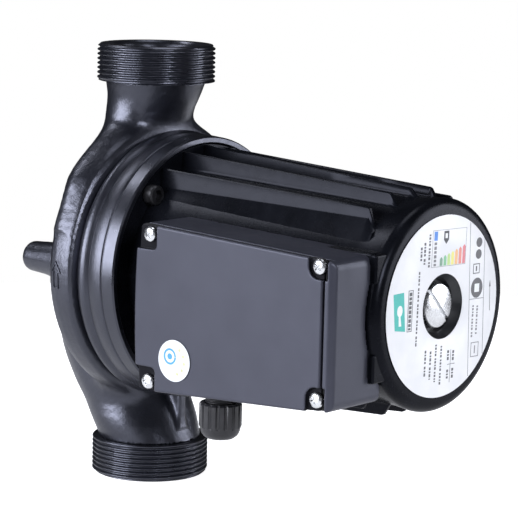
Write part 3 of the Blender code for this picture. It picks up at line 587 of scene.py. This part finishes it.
def thread_radius(depth, turn, hand):
    """Radius of the G2 thread's surface, with its run-in at each end."""
    phase = (depth / PITCH - hand * turn / math.tau) % 1.0
    wave = abs(phase - 0.5) * 2
    height = min(max((wave - 0.12) / 0.76, 0), 1)
    height = height * height * (3 - 2 * height)
    crest = THREAD_R - 0.02
    tip_limit = crest - max(0, depth - (THREAD_LENGTH - 1.4)) * 1.15
    fade = min(max((depth - 0.8) / 1.6, 0), 1)
    root = THREAD_ROOT_R + (1 - fade) * 0.5
    return min(root + (crest - root) * height, tip_limit)


def make_port(name, sign):
    """The threaded end: helical crests outside, flat face, chamfered mouth and bore."""
    facets = 180
    length = THREAD_LENGTH
    steps = int(length / PITCH * (12))
    rows = [(0.0, 20.05), (0.0, 27.5)]
    rows += [(length * i / steps, None) for i in range(steps + 1)]
    rows += [(length, 28.2), (length, 22.3), (length - 0.4, 21.9), (length - 1.8, 20.6),
             (length - 6, 20.5)]
    points = []
    for depth, radius in rows:
        for i in range(facets):
            turn = math.tau * i / facets
            r = thread_radius(depth, turn, sign) if radius is None else radius
            points.append((r * math.cos(turn), r * math.sin(turn), sign * (THREAD_FOOT + depth)))
    port = grid_piece(name, points, len(rows), facets, MACHINED, 42)
    fit(port, "casting_paint", "pump_housing")


def volute_radius(x):
    """Radius of the volute's skin, without the rows on the axis."""
    return float(np.interp(x, *zip(*VOLUTE[1:-1])))


def make_flow_arrow():
    """A plain raised outline on the volute that points along the flow."""
    outside = [(-1.9, -7.6), (1.9, -7.6), (1.9, 0.4), (3.7, 0.4), (0, 6.2), (-3.7, 0.4), (-1.9, 0.4)]
    inside = [(-1.1, -6.8), (1.1, -6.8), (1.1, 1.2), (2.2, 1.2), (0, 4.7), (-2.2, 1.2), (-1.1, 1.2)]
    middle_x, sunk, proud = -0.6, -0.8, 0.62
    points = []
    for lift in (sunk, proud):
        for x, z in outside + inside:
            radius = volute_radius(x + middle_x) + lift
            points.append((x + middle_x, -math.sqrt(radius**2 - z**2), z))
    count = len(outside)
    low_out, low_in, top_out, top_in = 0, count, 2 * count, 3 * count
    faces = []
    for i in range(count):
        j = (i + 1) % count
        faces += [
            (top_out + i, top_out + j, top_in + j, top_in + i),
            (low_out + i, low_in + i, low_in + j, low_out + j),
            (low_out + i, low_out + j, top_out + j, top_out + i),
            (low_in + i, top_in + i, top_in + j, low_in + j),
        ]
    arrow = mesh_from("flow_arrow", points, faces, CASTING)
    tidy(arrow)
    add_bevel(arrow, 0.22)
    fit(arrow, "casting_paint")


# ---- motor shell

BARREL_START, BARREL_END = 34, 162
BARREL_START_R, BARREL_FALL = 53.4, 4.2
MOTOR_OUTSIDE = [(27.8, 62.2), (33.6, 62.2), (34, 61.8), (BARREL_START, BARREL_START_R), (BARREL_END, 49.2),
                 (170, 49.3), *arc((177.9, 45.3), 5.0, 90, 0)]
MOTOR_INSIDE = [
    (20, 49.9), (29.2, 49.9), (29.2, 46.6), (138, 46.6), (140, 45.4), (174, 45.4), (177, 42),
    (177, 21), (174, 18.5), (154, 18.5), (154, 16.2), (159, 16.2), (159, 13.8), (164.5, 13.8),
    (164.5, 8.4), (171.2, 8.4), (171.2, 10.9), (176, 10.9), (176, 15.6), (182.9, 15.6),
]
BOLTS = [(57 * math.cos(math.radians(a)), 57 * math.sin(math.radians(a))) for a in (45, 135, 225, 315)]
FIN_PITCH, FIN_TIP_R, SIDE_FIN_TIP_R = 15.5, 61.7, 58.0
FIN_START, FIN_RUN = 36, 126.5  # the fin's top falls over this run
SOFT_FOOT = ((1.8, -0.6), (0.6, 0.1), (0.15, 0.8), (0.0, 1.6))  # (out from the fin's side, up)


def barrel_radius(x):
    return BARREL_START_R - (x - BARREL_START) * BARREL_FALL / (BARREL_END - BARREL_START)


def fin_piece(name, offset, tip_r, turn):
    """One drafted fin that falls away towards the rating plate. turn is degrees about X.

    The outermost fins have a wide low foot on their outer side.
    """
    tip = math.sqrt(tip_r**2 - (abs(offset) + 1.5) ** 2)
    fall = 8.4 - 0.094 * abs(offset)
    last = math.sqrt(barrel_radius(167) ** 2 - offset**2)
    stations = [
        (32.0, tip), (FIN_START, tip),
        *[(FIN_START + FIN_RUN * i / 8, tip - fall * i / 8) for i in range(1, 9)],
        (163.6, tip - fall - 0.5), (166.6, last + 0.6), (168.2, last - 0.4),
    ]
    rings = []
    for x, top in stations:
        radius = barrel_radius(x)
        sides = []
        for side in (-1, 1):
            foot = SOFT_FOOT
            if side * offset > 30:
                rise = 0.8 + 4.2 * min(max((x - FIN_START) / 126, 0), 1)
                foot = ((6.0, -0.6), (3.0, rise * 0.42), (0.35, rise), (0.0, rise + 0.35))
            column = []
            for out, lift in foot:
                across = side * (1.4 + out)
                ground = math.sqrt(max(radius**2 - (across + offset) ** 2, 1))
                column.append((x, across, min(ground + lift, top - 0.8)))
            sides.append(column + [(x, side * 1.1, top - 0.45), (x, side * 0.65, top)])
        rings.append(sides[0] + sides[1][::-1])
    spin = Matrix.Rotation(math.radians(turn), 4, "X")
    points = [tuple(spin @ Vector((x, across + offset, up))) for ring in rings for x, across, up in ring]
    width = len(rings[0])
    faces = [list(range(width)), [len(points) - width + i for i in range(width)]]
    for k in range(len(rings) - 1):
        for i in range(width):
            j = (i + 1) % width
            faces.append([k * width + i, k * width + j, (k + 1) * width + j, (k + 1) * width + i])
    fin = mesh_from(name, points, faces, MOTOR)
    tidy(fin, 40)
    return fin


def make_motor():
    pieces = [lathe("motor_shell", MOTOR_OUTSIDE + MOTOR_INSIDE[::-1], MOTOR, facets=200, sharp=24)]
    for i in range(-2, 3):
        pieces.append(fin_piece(f"upper_fin_{i + 3}", FIN_PITCH * i, FIN_TIP_R, 0))
        pieces.append(fin_piece(f"lower_fin_{i + 3}", FIN_PITCH * i, FIN_TIP_R, 180))
    for i in (-1, 0, 1):
        pieces.append(fin_piece(f"side_fin_{i + 2}", FIN_PITCH * i, SIDE_FIN_TIP_R, -90))
    pieces.append(brick("box_pad", (62, -48.3, -31), (178.4, -36, 29), MOTOR, 1.0))
    for name, low, high in (("upper", 15, 28.6), ("lower", -30.6, -17)):
        pieces.append(brick(f"pad_ear_{name}", (170, -48.0, low), (181, -36, high), MOTOR, 1.2))
    pieces.append(lathe("vent_recess", [
        (176.4, 10.9), (176.4, 12.4), (179.4, 12.7), (182.3, 14.9), (182.95, 15.25), (182.95, 15.7),
        (175.8, 15.7), (175.8, 10.9),
    ], RECESS, facets=96, sharp=24))
    for piece in pieces:
        fit(piece, "motor_paint", "motor_housing")
    for i, (y, z) in enumerate(BOLTS):
        bolt = lathe(f"flange_bolt_head_{i + 1}", [
            (14, 0), (14, 2.2), (14.6, 2.75), (34.3, 2.75), (34.3, 4.5), (34.6, 4.85), (39.4, 4.85),
            (40.2, 4.2), (40.25, 0),
        ], DARK_STEEL, centre=(0, y, z), facets=40, sharp=30)
        socket = lathe("socket", [(36.9, 0), (36.9, 2.85), (46, 2.85), (46, 0)], DARK_STEEL,
                       centre=(0, y, z), facets=6, sharp=10)
        subtract(bolt, socket)
        fit(bolt, "blackened_steel", f"flange_bolt_{i + 1}")


def make_vent():
    plug = lathe("vent_screw_head", [
        (165.2, 0), (165.2, 7.2), (166.0, 7.9), (173.5, 7.9), (173.5, 10.3), (173.8, 10.5),
        (180.4, 10.5), (181.1, 10.1), (181.35, 9.4), (181.4, 0),
    ], CHROME, facets=96, sharp=24)
    half = 0.95  # of the slot's width. Its floor is a V.
    section = [(184, -half), (184, half), (180.6, half), (178.9, 0), (180.6, -half)]
    points = [(x, end, across) for end in (-12, 12) for x, across in section]
    slot = mesh_from("slot_tool", points, prism_faces(len(section)), CHROME)
    tidy(slot)
    slot.data.transform(Matrix.Rotation(math.radians(-47), 4, "X"))
    subtract(plug, slot)
    fit(plug, "bright_chrome", "vent_plug", body="vent_screw")


# ---- rating plate

PLATE_FACE = 183.50
PRINT_FACE = 183.56
LEVEL_STEP = 0.008  # print on print stands this much prouder
TILT = math.radians(1.8)
WORD = [(1.3, 0.55), (0.8, 0.5), (1.5, 0.6), (1.0, 1.2)]  # dash and gap lengths
FINE = [(0.8, 0.5), (1.1, 0.6), (0.7, 0.5), (1.2, 1.0)]
CHART_COLOURS = [(0.02, 0.22, 0.08), (0.05, 0.42, 0.13), (0.42, 0.66, 0.10), (0.85, 0.78, 0.08),
                 (0.85, 0.38, 0.06), (0.75, 0.12, 0.06), (0.70, 0.06, 0.09)]
CHART_TOPS = [23.3, 24.1, 24.8, 25.6, 26.4, 27.2, 28.1]


def tilted(points):
    """Turns print that is square in the plate to the plate's own slight tilt."""
    return [(y * math.cos(TILT) + z * math.sin(TILT), z * math.cos(TILT) - y * math.sin(TILT))
            for y, z in points]


def printed(name, outline, material, level=0, straight=False):
    """A printed mark from its outline in (y, z). straight leaves out the plate's tilt."""
    face = PRINT_FACE + LEVEL_STEP * level
    shape = outline if straight else tilted(outline)
    mark = slab(name, shape, PLATE_FACE - 0.1, face, material, "X")
    return fit(mark, "plate_white")


def bar(name, y0, y1, z0, z1, material):
    return printed(name, [(y0, z0), (y1, z0), (y1, z1), (y0, z1)], material)


def merge(name, objects):
    """Joins printed marks of one ink into one piece."""
    bpy.context.view_layer.update()
    shape = bmesh.new()
    for obj in objects:
        shape.from_mesh(obj.data)
    mesh = bpy.data.meshes.new(name)
    shape.to_mesh(mesh)
    shape.free()
    mesh.materials.append(objects[0].data.materials[0])
    for obj in objects:
        bpy.data.objects.remove(obj, do_unlink=True)
    mesh.set_sharp_from_angle(angle=math.radians(CREASE))
    return put_in_scene(name, mesh)


def print_group(name, marks):
    fit(merge(name, marks), "plate_white")


def dashes(name, y, top, bottom, width, pattern, material):
    """A row of short plain bars, which stands for a printed line without any letters."""
    made = []
    z = top
    step = 0
    while z > bottom + 0.4:
        length, gap = pattern[step % len(pattern)]
        end = max(z - length, bottom)
        made.append(bar(f"{name}_{step}", y - width / 2, y + width / 2, end, z, material))
        z = end - gap
        step += 1
    return made


def ring_outline(middle, half_y, half_z, steps=28):
    """Points round an ellipse."""
    return [(middle[0] + half_y * math.cos(math.tau * i / steps),
             middle[1] + half_z * math.sin(math.tau * i / steps)) for i in range(steps)]


def frame_bars(name, y0, y1, z0, z1, line, material):
    """Four bars round a rectangle."""
    sides = ((y0, y0 + line, z0, z1), (y1 - line, y1, z0, z1),
             (y0, y1, z0, z0 + line), (y0, y1, z1 - line, z1))
    return [bar(f"{name}_{i}", *side, material) for i, side in enumerate(sides)]


def make_plate():
    plate = lathe("rating_disc", [
        (183.2, 15.4), (183.2, 42.7), (183.4, 42.8), (183.5, 42.6), (183.5, 15.5), (183.4, 15.3),
    ], PLATE, facets=160, sharp=30)
    fit(plate, "plate_white", "rating_plate")
    grey = ink("ink_grey", (0.05, 0.05, 0.055))
    soft = ink("ink_soft_grey", (0.10, 0.10, 0.105))
    faint = ink("ink_faint_grey", (0.20, 0.20, 0.21))
    teal = ink("ink_teal", (0.055, 0.46, 0.40))
    white = ink("ink_white", (0.82, 0.84, 0.84))
    blue = ink("ink_blue", (0.08, 0.25, 0.68))

    printed("mark_teal", [(-38.2, 8.6), (-30.4, 9.0), (-28.2, -9.2), (-36.0, -8.2)], teal)
    print_group("mark_emblem", [
        printed("w0", ring_outline((-32.9, 0.6), 2.0, 2.6), white, 1),
        printed("w1", [(-33.6, -2.0), (-32.2, -2.0), (-31.2, -6.4), (-33.2, -6.4)], white, 1),
    ])
    print_group("print_left", [
        *frame_bars("rail", -26.9, -23.3, -9.6, 9.6, 0.35, soft),
        *dashes("rail_in", -25.1, 8.6, -8.8, 1.9, [(1.7, 0.5), (1.4, 0.5)], soft),
        *dashes("model", -19.4, 17.6, -17.5, 1.0, WORD, soft),
        *dashes("c1", -18.7, 28.8, 21.8, 1.3, WORD, soft),
        *dashes("c2", -16.1, 30.8, 20.0, 1.3, WORD, soft),
        *dashes("c3", -12.6, 34.4, 19.0, 1.3, FINE, soft),
    ])

    print_group("print_chart_frame", [
        *frame_bars("chart", -10.6, 15.8, 18.8, 36.0, 0.18, faint),
        *dashes("chart_word", -8.1, 30.4, 19.4, 1.8, [(1.2, 0.7), (1.5, 0.6)], faint),
    ])
    bar("print_chart_blue", -9.4, -6.8, 31.2, 35.4, blue)
    for i, (colour, top) in enumerate(zip(CHART_COLOURS, CHART_TOPS)):
        middle = -3.2 + 2.93 * i
        shape = [(middle - 1.05, 19.2), (middle + 1.05, 19.2), (middle + 1.05, top - 1.0),
                 (middle, top), (middle - 1.05, top - 1.0)]
        washed = tuple(0.78 * c + 0.18 for c in colour)
        printed(f"print_chart_{i}", shape, ink(f"ink_chart_{i}", washed))
    printed("print_tag", [(-1.9, 35.3), (1.9, 35.3), (1.9, 31.2), (0, 29.2), (-1.9, 31.2)], grey)
    printed("print_tag_window", [(-0.9, 34.2), (0.9, 34.2), (0.9, 31.9), (-0.9, 31.9)], white, 1)

    lines = ([(19.55, 37.5), (19.85, 37.5), (21.85, -36.0), (21.55, -36.0)],
             [(31.55, 28.6), (31.85, 28.6), (33.05, -26.6), (32.75, -26.6)],
             [(20.6, 0.95), (32.2, 0.55), (32.2, 0.25), (20.6, 0.65)])
    print_group("print_right", [
        *[printed(f"l{i + 1}", line, faint, straight=True) for i, line in enumerate(lines)],
        *dashes("w1", 24.2, -1.6, -16.8, 1.2, FINE, faint),
        *dashes("w2", 27.6, -2.0, -16.4, 1.2, FINE, faint),
        *frame_bars("square", 24.1, 30.3, -26.4, -19.4, 0.35, faint),
        bar("square_in", 26.9, 27.6, -24.8, -21.0, faint),
    ])

    print_group("print_badges", [
        printed("b0", ring_outline((26.3, 6.6), 4.6, 4.8), soft),
        printed("b1", ring_outline((26.4, 28.2), 2.3, 2.3), soft),
        printed("b2", ring_outline((26.4, 22.6), 2.3, 2.3), soft),
        *frame_bars("b4", 22.6, 27.8, 13.4, 18.2, 0.45, soft),
        bar("b5", 24.7, 25.7, 14.6, 17.0, soft),
    ])
    printed("print_badge_window", [(24.4, 4.6), (28.2, 4.6), (28.2, 8.6), (24.4, 8.6)], white, 1)
    print_group("print_turn_arrow", [
        printed("t0", [(37.0, 5.4), (37.3, 5.4), (37.75, -6.4), (37.45, -6.4)], soft, straight=True),
        printed("t1", [(36.5, 5.2), (37.8, 5.2), (37.1, 8.2)], soft, straight=True),
    ])

    rows = [
        (-11.6, -19.6, -32.6, 1.2, WORD, soft), (-7.6, -20.4, -33.6, 1.2, WORD, soft),
        (-3.6, -17.6, -35.2, 1.2, FINE, soft), (0.6, -18.6, -37.0, 1.2, FINE, soft),
        (6.2, -21.2, -26.0, 1.4, WORD, grey), (6.2, -30.4, -34.6, 1.4, WORD, grey),
        (10.2, -21.6, -26.4, 1.4, WORD, grey), (10.2, -30.0, -35.4, 1.4, WORD, grey),
    ]
    print_group("print_table", [
        *[mark for i, row in enumerate(rows) for mark in dashes(f"d{i + 1}", *row)],
        bar("d9", 8.1, 8.35, -36.6, -21.0, soft), bar("d10", 6.0, 11.8, -28.0, -27.75, soft),
    ])


# ---- terminal box

BOX_START, BOX_END, COVER_END = 60.0, 178.0, 172.0
COVER_FACE, COVER_BACK, LIP = -75.3, -72.3, -74.8
POCKET_FLOOR = 0.75  # of cover left under a screw head
STRIP_POCKET_Y = -70.9  # how deep the right pockets cut the raised strip
SCREW_X = (67.0, 169.6)
STICKER_MIDDLE = (85.0, -30.0)
STICKER_FACE, STICKER_PRINT = COVER_FACE - 0.56, COVER_FACE - 0.595
GLAND_X, GLAND_Y = 99.0, -58.0
GLAND_HOLE_R, GLAND_SEAT_R = 8.3, 10.2
POCKET_R, POCKET_RIGHT = 5.7, 4.9  # a right pocket's radius, and its flat side's distance
COVER_HOLE_R, SCREW_HOLE_R, SCREW_COLUMN_R = 2.1, 1.9, 4.4
WALL = 2.8
CAVITY_FLOOR, SCREW_HOLE_FLOOR, RIM_FLOOR = -56, -58, -70.5


def box_edge(x, side):
    """Height of the box's upper (side 1) or lower (side -1) edge, which taper along it."""
    along = x - BOX_START
    return -7.5 + 0.0107 * along + side * (40.1 - 0.0489 * along)


def box_outline(inset, start, end, corner):
    """The box's tapered outline in x and z, with a bowed left end."""
    left, right = start + inset, end - inset
    top_left, top_right = (box_edge(x, 1) - inset for x in (left, right))
    low_left, low_right = (box_edge(x, -1) + inset for x in (left, right))
    middle = (top_left + low_left) / 2
    reach = (top_left - low_left) / 2 - corner
    bow = [(left - 1.6 * (1 - (t * t)), middle - t * reach) for t in (-0.66, -0.33, 0, 0.33, 0.66)]

    def turn(x, z, first):
        return arc((x, z), corner, first, first + 90, 6)

    return [*turn(right - corner, top_right - corner, 0), *turn(left + corner, top_left - corner, 90), *bow,
            *turn(left + corner, low_left + corner, 180), *turn(right - corner, low_right + corner, 270)]


GLAND_SEAT = box_edge(GLAND_X, -1) + 0.8
SCREWS = [(x, box_edge(x, side) - side * inset, side) for x, side, inset in (
    (SCREW_X[0], 1, 4.6), (SCREW_X[0], -1, 4.6), (SCREW_X[1], 1, 3.5), (SCREW_X[1], -1, 5.7))]


def pocket_field(x, z, place):
    """The corner recess round a cover screw, open at the nearer long edge."""
    px, pz, side = place
    up = (z - pz) * side
    if px == SCREW_X[0]:
        return soft_max(x - 72, -7 - up, 3.0)
    round_part = np.sqrt((x - px) ** 2 + np.minimum(up, 0) ** 2) - POCKET_R
    left_part = np.where(x < px, round_part, np.where(up < 0, -up - POCKET_R, -POCKET_R))
    return np.maximum(left_part, x - px - POCKET_RIGHT)


def rounded_slab(x, y, z, outline, low, high, edge):
    """An outline in x and z with thickness in y and rounded long edges."""
    side = polygon_field(x, z, outline)
    flat = np.maximum(low - y, y - high)
    return soft_max(side, flat, edge * 2.2)


def cover_field(x, y, z):
    """The flat cover with its four screw pockets and holes."""
    body = rounded_slab(x, y, z, box_outline(0, BOX_START, COVER_END, 2.5), COVER_FACE, COVER_BACK, 0.55)
    for place in SCREWS:
        pocket = np.maximum(pocket_field(x, z, place), y - (COVER_BACK - POCKET_FLOOR))
        body = soft_max(body, -pocket, 0.7)
        hole = distance(x, z, place) - COVER_HOLE_R
        body = np.maximum(body, -hole)
    return body


def box_field(x, y, z):
    """The box: lip past the cover, hollow for the block and leads, seat on the barrel, gland hole."""
    body = rounded_slab(x, y, z, box_outline(0, BOX_START, BOX_END, 4), LIP, -38, 0.8)
    corner = (x - BOX_END + (LIP - y) + 2.6) / math.sqrt(2)
    body = soft_max(body, corner, 0.8)
    rim = np.maximum(x - (COVER_END + 0.8), y - RIM_FLOOR)
    inside_wall = polygon_field(x, z, box_outline(WALL, BOX_START, COVER_END + 4, 3))
    cavity = np.maximum(inside_wall, y - CAVITY_FLOOR)
    for place in SCREWS:
        column = distance(x, z, place) - SCREW_COLUMN_R
        cavity = np.maximum(cavity, -column)
    away = np.sqrt(y**2 + z**2)
    barrel = away - np.interp(x, [60, 162, 174, 190], [53.3, 49.8, 50.8, 51.0])
    wall = np.minimum(box_edge(x, 1), -box_edge(x, -1) + 2) - 2.4
    pad = np.maximum(-y - 48.6, np.abs(z + 1) - np.minimum(30.4, wall + 1))
    hollow = np.minimum(np.minimum(cavity, barrel), np.maximum(pad, y))
    under = np.maximum(np.abs(x - 118) - 45, np.maximum(np.abs(y + 55.7) - 12.3, np.abs(z + 37.5) - 4.3))
    hollow = np.minimum(hollow, under)
    body = np.maximum(soft_max(body, -rim, 0.4), -hollow)
    for place in SCREWS:
        if place[0] == SCREW_X[1]:
            body = soft_max(body, -np.maximum(pocket_field(x, z, place), y - STRIP_POCKET_Y), 0.7)
        hole = distance(x, z, place) - SCREW_HOLE_R
        body = np.maximum(body, -np.maximum(hole, y - SCREW_HOLE_FLOOR))
    gland = distance(x, y, (GLAND_X, GLAND_Y))
    body = np.maximum(body, -np.maximum(gland - GLAND_HOLE_R, z + 38))
    return np.maximum(body, -np.maximum(gland - GLAND_SEAT_R, z - GLAND_SEAT))


def cover_screw_piece(number, x, z):
    """A domed cross-head screw, each turned a little differently."""
    under = -COVER_BACK + 1.0
    top = under + 2.4
    dome = [(top - 1.5, 3.65), (top - 1.0, 3.45), (top - 0.5, 2.85), (top - 0.12, 1.7), (top, 0)]
    screw = lathe(f"cover_screw_head_{number}", [
        (60, 0), (60, 1.55), (under, 1.55), (under, 3.5), (under + 0.3, 3.7), *dome,
    ], CHROME, axis="-Y", centre=(x, 0, z), facets=48, sharp=30)
    turn = Matrix.Rotation(math.radians(20 + 37 * number), 4, "Y")
    arms = []
    for angle in (0, 90):
        arm = slab("arm", [(-2.1, -0.42), (2.1, -0.42), (2.1, 0.42), (-2.1, 0.42)], -1.3, 1.5, CHROME)
        arm.data.transform(turn @ Matrix.Rotation(math.radians(angle), 4, "Y"))
        arm.data.transform(Matrix.Translation(Vector((x, -top - 0.4, z)) * MM))
        arms.append(arm)
    subtract(screw, *arms)
    fit(screw, "bright_chrome", f"cover_screw_{number}")


def paint_shade_in_pockets(obj, deepest):
    """Paints shade into the screw pockets: gives their floors and walls, down to deepest in y, a darker copy
    of the box paint that stands for the shade falling there.
    """
    mesh = obj.data
    mesh.materials.append(POCKET_PAINTED_SHADE)
    centres = np.empty(len(mesh.polygons) * 3)
    mesh.polygons.foreach_get("center", centres)
    x, y, z = (centres.reshape(-1, 3) / MM).T
    inside = np.zeros(len(x), bool)
    for place in SCREWS:
        inside |= pocket_field(x, z, place) < 0.25
    inside &= (y > COVER_FACE + 0.45) & (y < deepest)
    mesh.polygons.foreach_set("material_index", inside.astype(np.int32))


def sticker_mark(name, outline, material):
    return slab(name, outline, STICKER_PRINT, COVER_FACE - 0.5, material)


def make_sticker():
    """The round sticker, with a plain ring and dot and a row of faint dots."""
    middle = STICKER_MIDDLE
    disc = slab("round_sticker", ring_outline(middle, 9.9, 9.9, 64), STICKER_FACE, COVER_FACE - 0.3,
                STICKER, bevel=0.08)
    fit(disc, "sticker_white", "cover_sticker")
    pale = ink("ink_pale_blue", (0.06, 0.28, 0.50))
    cream = ink("ink_cream", (0.50, 0.50, 0.30))
    eye = (middle[0] - 2.6, middle[1] + 1.8)
    ring = arc(eye, 3.9, 1, 359, 32) + arc(eye, 2.9, 359, 1, 32)
    marks = [sticker_mark("ring", ring, pale), sticker_mark("centre", ring_outline(eye, 1.5, 1.5, 20), pale)]
    fit(merge("sticker_marks", marks), "sticker_white")
    spots = arc(middle, 6.4, -70, 58, 4)
    dots = [sticker_mark(f"d{i}", ring_outline(spot, 0.8, 0.8, 12), cream) for i, spot in enumerate(spots)]
    fit(merge("sticker_dots", dots), "sticker_white")


def make_box():
    lower = carved("box_shell", (58, -75, -49), (179, -37.5, 34), 0.62, box_field, BOX)
    fit(lower, "box_paint", "terminal_box")
    cover = carved("box_cover", (58, -75.5, -49), (173, -72, 34), 0.42, cover_field, BOX)
    fit(cover, "box_paint", "terminal_cover")
    # Painted shade on the floors and walls of the screw pockets in the cover and the box.
    paint_shade_in_pockets(cover, COVER_BACK - 0.3)
    paint_shade_in_pockets(lower, STRIP_POCKET_Y + 0.5)
    for i, (x, z, _) in enumerate(SCREWS):
        cover_screw_piece(i + 1, x, z)
    make_sticker()


# ---- cable gland


def ribbed(name, rows, ribs, depth, material, centre):
    """A turned piece along -Z. rows are (down, radius, share of the grooves' depth)."""
    facets = ribs * 8
    points = []
    for along, radius, ribbing in rows:
        for i in range(facets):
            turn = math.tau * i / facets
            wave = abs(((i * ribs / facets) % 1.0) - 0.5) * 2
            groove = min(max((0.42 - wave) / 0.22, 0), 1)
            r = radius - depth * ribbing * groove
            points.append((centre[0] + r * math.cos(turn), centre[1] + r * math.sin(turn), -along))
    return grid_piece(name, points, len(rows), facets, material, 26)


def make_gland():
    centre = (GLAND_X, GLAND_Y, 0)
    seat = -GLAND_SEAT
    rings = []  # one for each pitch of the thread
    z = seat + 2.8
    while z < seat + 15:
        rings += [(z, 7.0), (z + 0.5, 7.4), (z + 0.8, 7.4), (z + 1.3, 7.0)]
        z += 1.5
    body = lathe("gland_body_detail", [
        (seat - 8, 5.2), (seat - 8, 7.6), (seat - 7.6, 8.0), (seat, 8.0), (seat + 0.3, 8.2),
        (seat + 0.3, 9.1), (seat + 0.6, 9.4), (seat + 2.2, 9.4), (seat + 2.6, 9.0), *rings,
        (seat + 15.5, 6.8), (seat + 15.5, 5.2),
    ], GLAND, axis="-Z", centre=centre, facets=72, sharp=26)
    fit(body, "gland_plastic", "gland_body")
    rows = [(18.3, 7.8, 0), (5.4, 7.8, 0), (5.4, 9.2, 0.3), (5.7, 9.7, 1), (6.3, 10.15, 1),
            (16.2, 10.15, 1), (17.0, 9.95, 0.8), (17.4, 9.7, 0.15), (18.6, 9.45, 0), (20.2, 8.9, 0),
            (21.5, 7.9, 0), (22.5, 6.5, 0), (22.8, 5.4, 0), (22.75, 4.2, 0), (22.5, 3.9, 0), (18.3, 3.8, 0)]
    nut = ribbed("gland_nut_detail", [(seat + down, *rest) for down, *rest in rows], 16, 0.8, GLAND, centre)
    fit(nut, "gland_plastic", "gland_nut", body="gland_cap")


# ---- the inner pieces

def finish_inner_pieces():
    """Gives every CAD node its real finish."""
    for entry in frame["record"]["subparts"]:
        node = NODES[entry["node"]]
        node.data.materials.clear()
        node.data.materials.append(FINISHES[entry["material_slot"]])


# ---- stage
# From here on, lengths are metres.

PUMP_MIDDLE = (0.06, 0, 0)
FLOOR_Z, FLOOR_R = -0.1101, 0.62


def glow(name, place, size, power):
    """A soft rectangular light that faces the pump's middle."""
    light = bpy.data.lights.new(name, "AREA")
    light.shape = "RECTANGLE"
    light.size, light.size_y = size
    light.energy = power
    light.color = (0.90, 0.92, 1.0)
    obj = put_in_scene(name, light)
    obj.location = Vector(place)
    obj.rotation_euler = (Vector(PUMP_MIDDLE) - Vector(place)).to_track_quat("-Z", "Y").to_euler()


def make_floor():
    """A pale disc that looks bright to the camera and lights the pump only a little."""
    corners = [(PUMP_MIDDLE[0] + x, y, FLOOR_Z) for x, y in ring_outline((0, 0), FLOOR_R, FLOOR_R, 96)]
    mesh = bpy.data.meshes.new("floor")
    mesh.from_pydata(corners, [], [list(range(len(corners)))])
    pale = Nodes("floor_paint")
    pale.drive("Base Color", pale.blend(pale.noise(60, 2), (0.88, 0.88, 0.88), (0.92, 0.92, 0.92)))
    pale.fix("Roughness", 0.9)
    pale.fix("Specular IOR Level", 0.0)
    pale.fix("Emission Color", (1, 1, 1, 1))
    seen = pale.add("ShaderNodeLightPath").outputs["Is Camera Ray"]
    pale.drive("Emission Strength", pale.spread(seen, 0.22, 0.85, 0.0, 1.0))
    mesh.materials.append(pale.material)
    floor = put_in_scene("floor", mesh)


def make_studio():
    """A world that is white to the camera and dim to the pump, and five soft lights."""
    world = bpy.data.worlds.new("studio")
    world.use_nodes = True
    nodes, links = world.node_tree.nodes, world.node_tree.links
    seen, around = nodes["Background"], nodes.new("ShaderNodeBackground")
    for node, colour, strength in ((seen, (1, 1, 1, 1), 1.0), (around, (0.93, 0.95, 1.0, 1), 0.018)):
        node.inputs["Color"].default_value = colour
        node.inputs["Strength"].default_value = strength
    path = nodes.new("ShaderNodeLightPath")
    mix = nodes.new("ShaderNodeMixShader")
    links.new(path.outputs["Is Camera Ray"], mix.inputs[0])
    links.new(around.outputs[0], mix.inputs[1])
    links.new(seen.outputs[0], mix.inputs[2])
    links.new(mix.outputs[0], nodes["World Output"].inputs["Surface"])
    bpy.context.scene.world = world
    bpy.context.scene.view_settings.view_transform = "Standard"

    glow("key", (-0.75, -1.95, 0.5), (1.9, 1.2), 82)
    glow("right", (1.25, 1.3, 0.3), (0.7, 1.1), 15)
    glow("front", (1.95, -0.75, 0.75), (0.6, 0.6), 27)
    glow("top", (0.1, 0.3, 1.9), (0.8, 0.8), 7)
    glow("edge", (-1.2, -0.3, 1.5), (0.45, 0.45), 5)


def make_camera():
    """The camera fitted to the photo, by its angles, distance and lens."""
    azimuth, elevation, roll = (math.radians(a) for a in (40.43, 9.04, 1.37))
    camera = bpy.data.cameras.new("camera")
    camera.sensor_width = 36.0
    camera.lens = 168.0
    obj = put_in_scene("camera", camera)
    obj.matrix_world = (Matrix.Translation((0.8327, -0.8939, 0.1954)) @ Matrix.Rotation(azimuth, 4, "Z")
                        @ Matrix.Rotation(math.pi / 2 - elevation, 4, "X") @ Matrix.Rotation(roll, 4, "Z"))
    bpy.context.scene.camera = obj


make_camera()
finish_inner_pieces()
make_casting()
make_port("outlet_thread", 1)
make_port("inlet_thread", -1)
make_flow_arrow()
make_motor()
make_vent()
make_plate()
make_box()
make_gland()
make_floor()
make_studio()
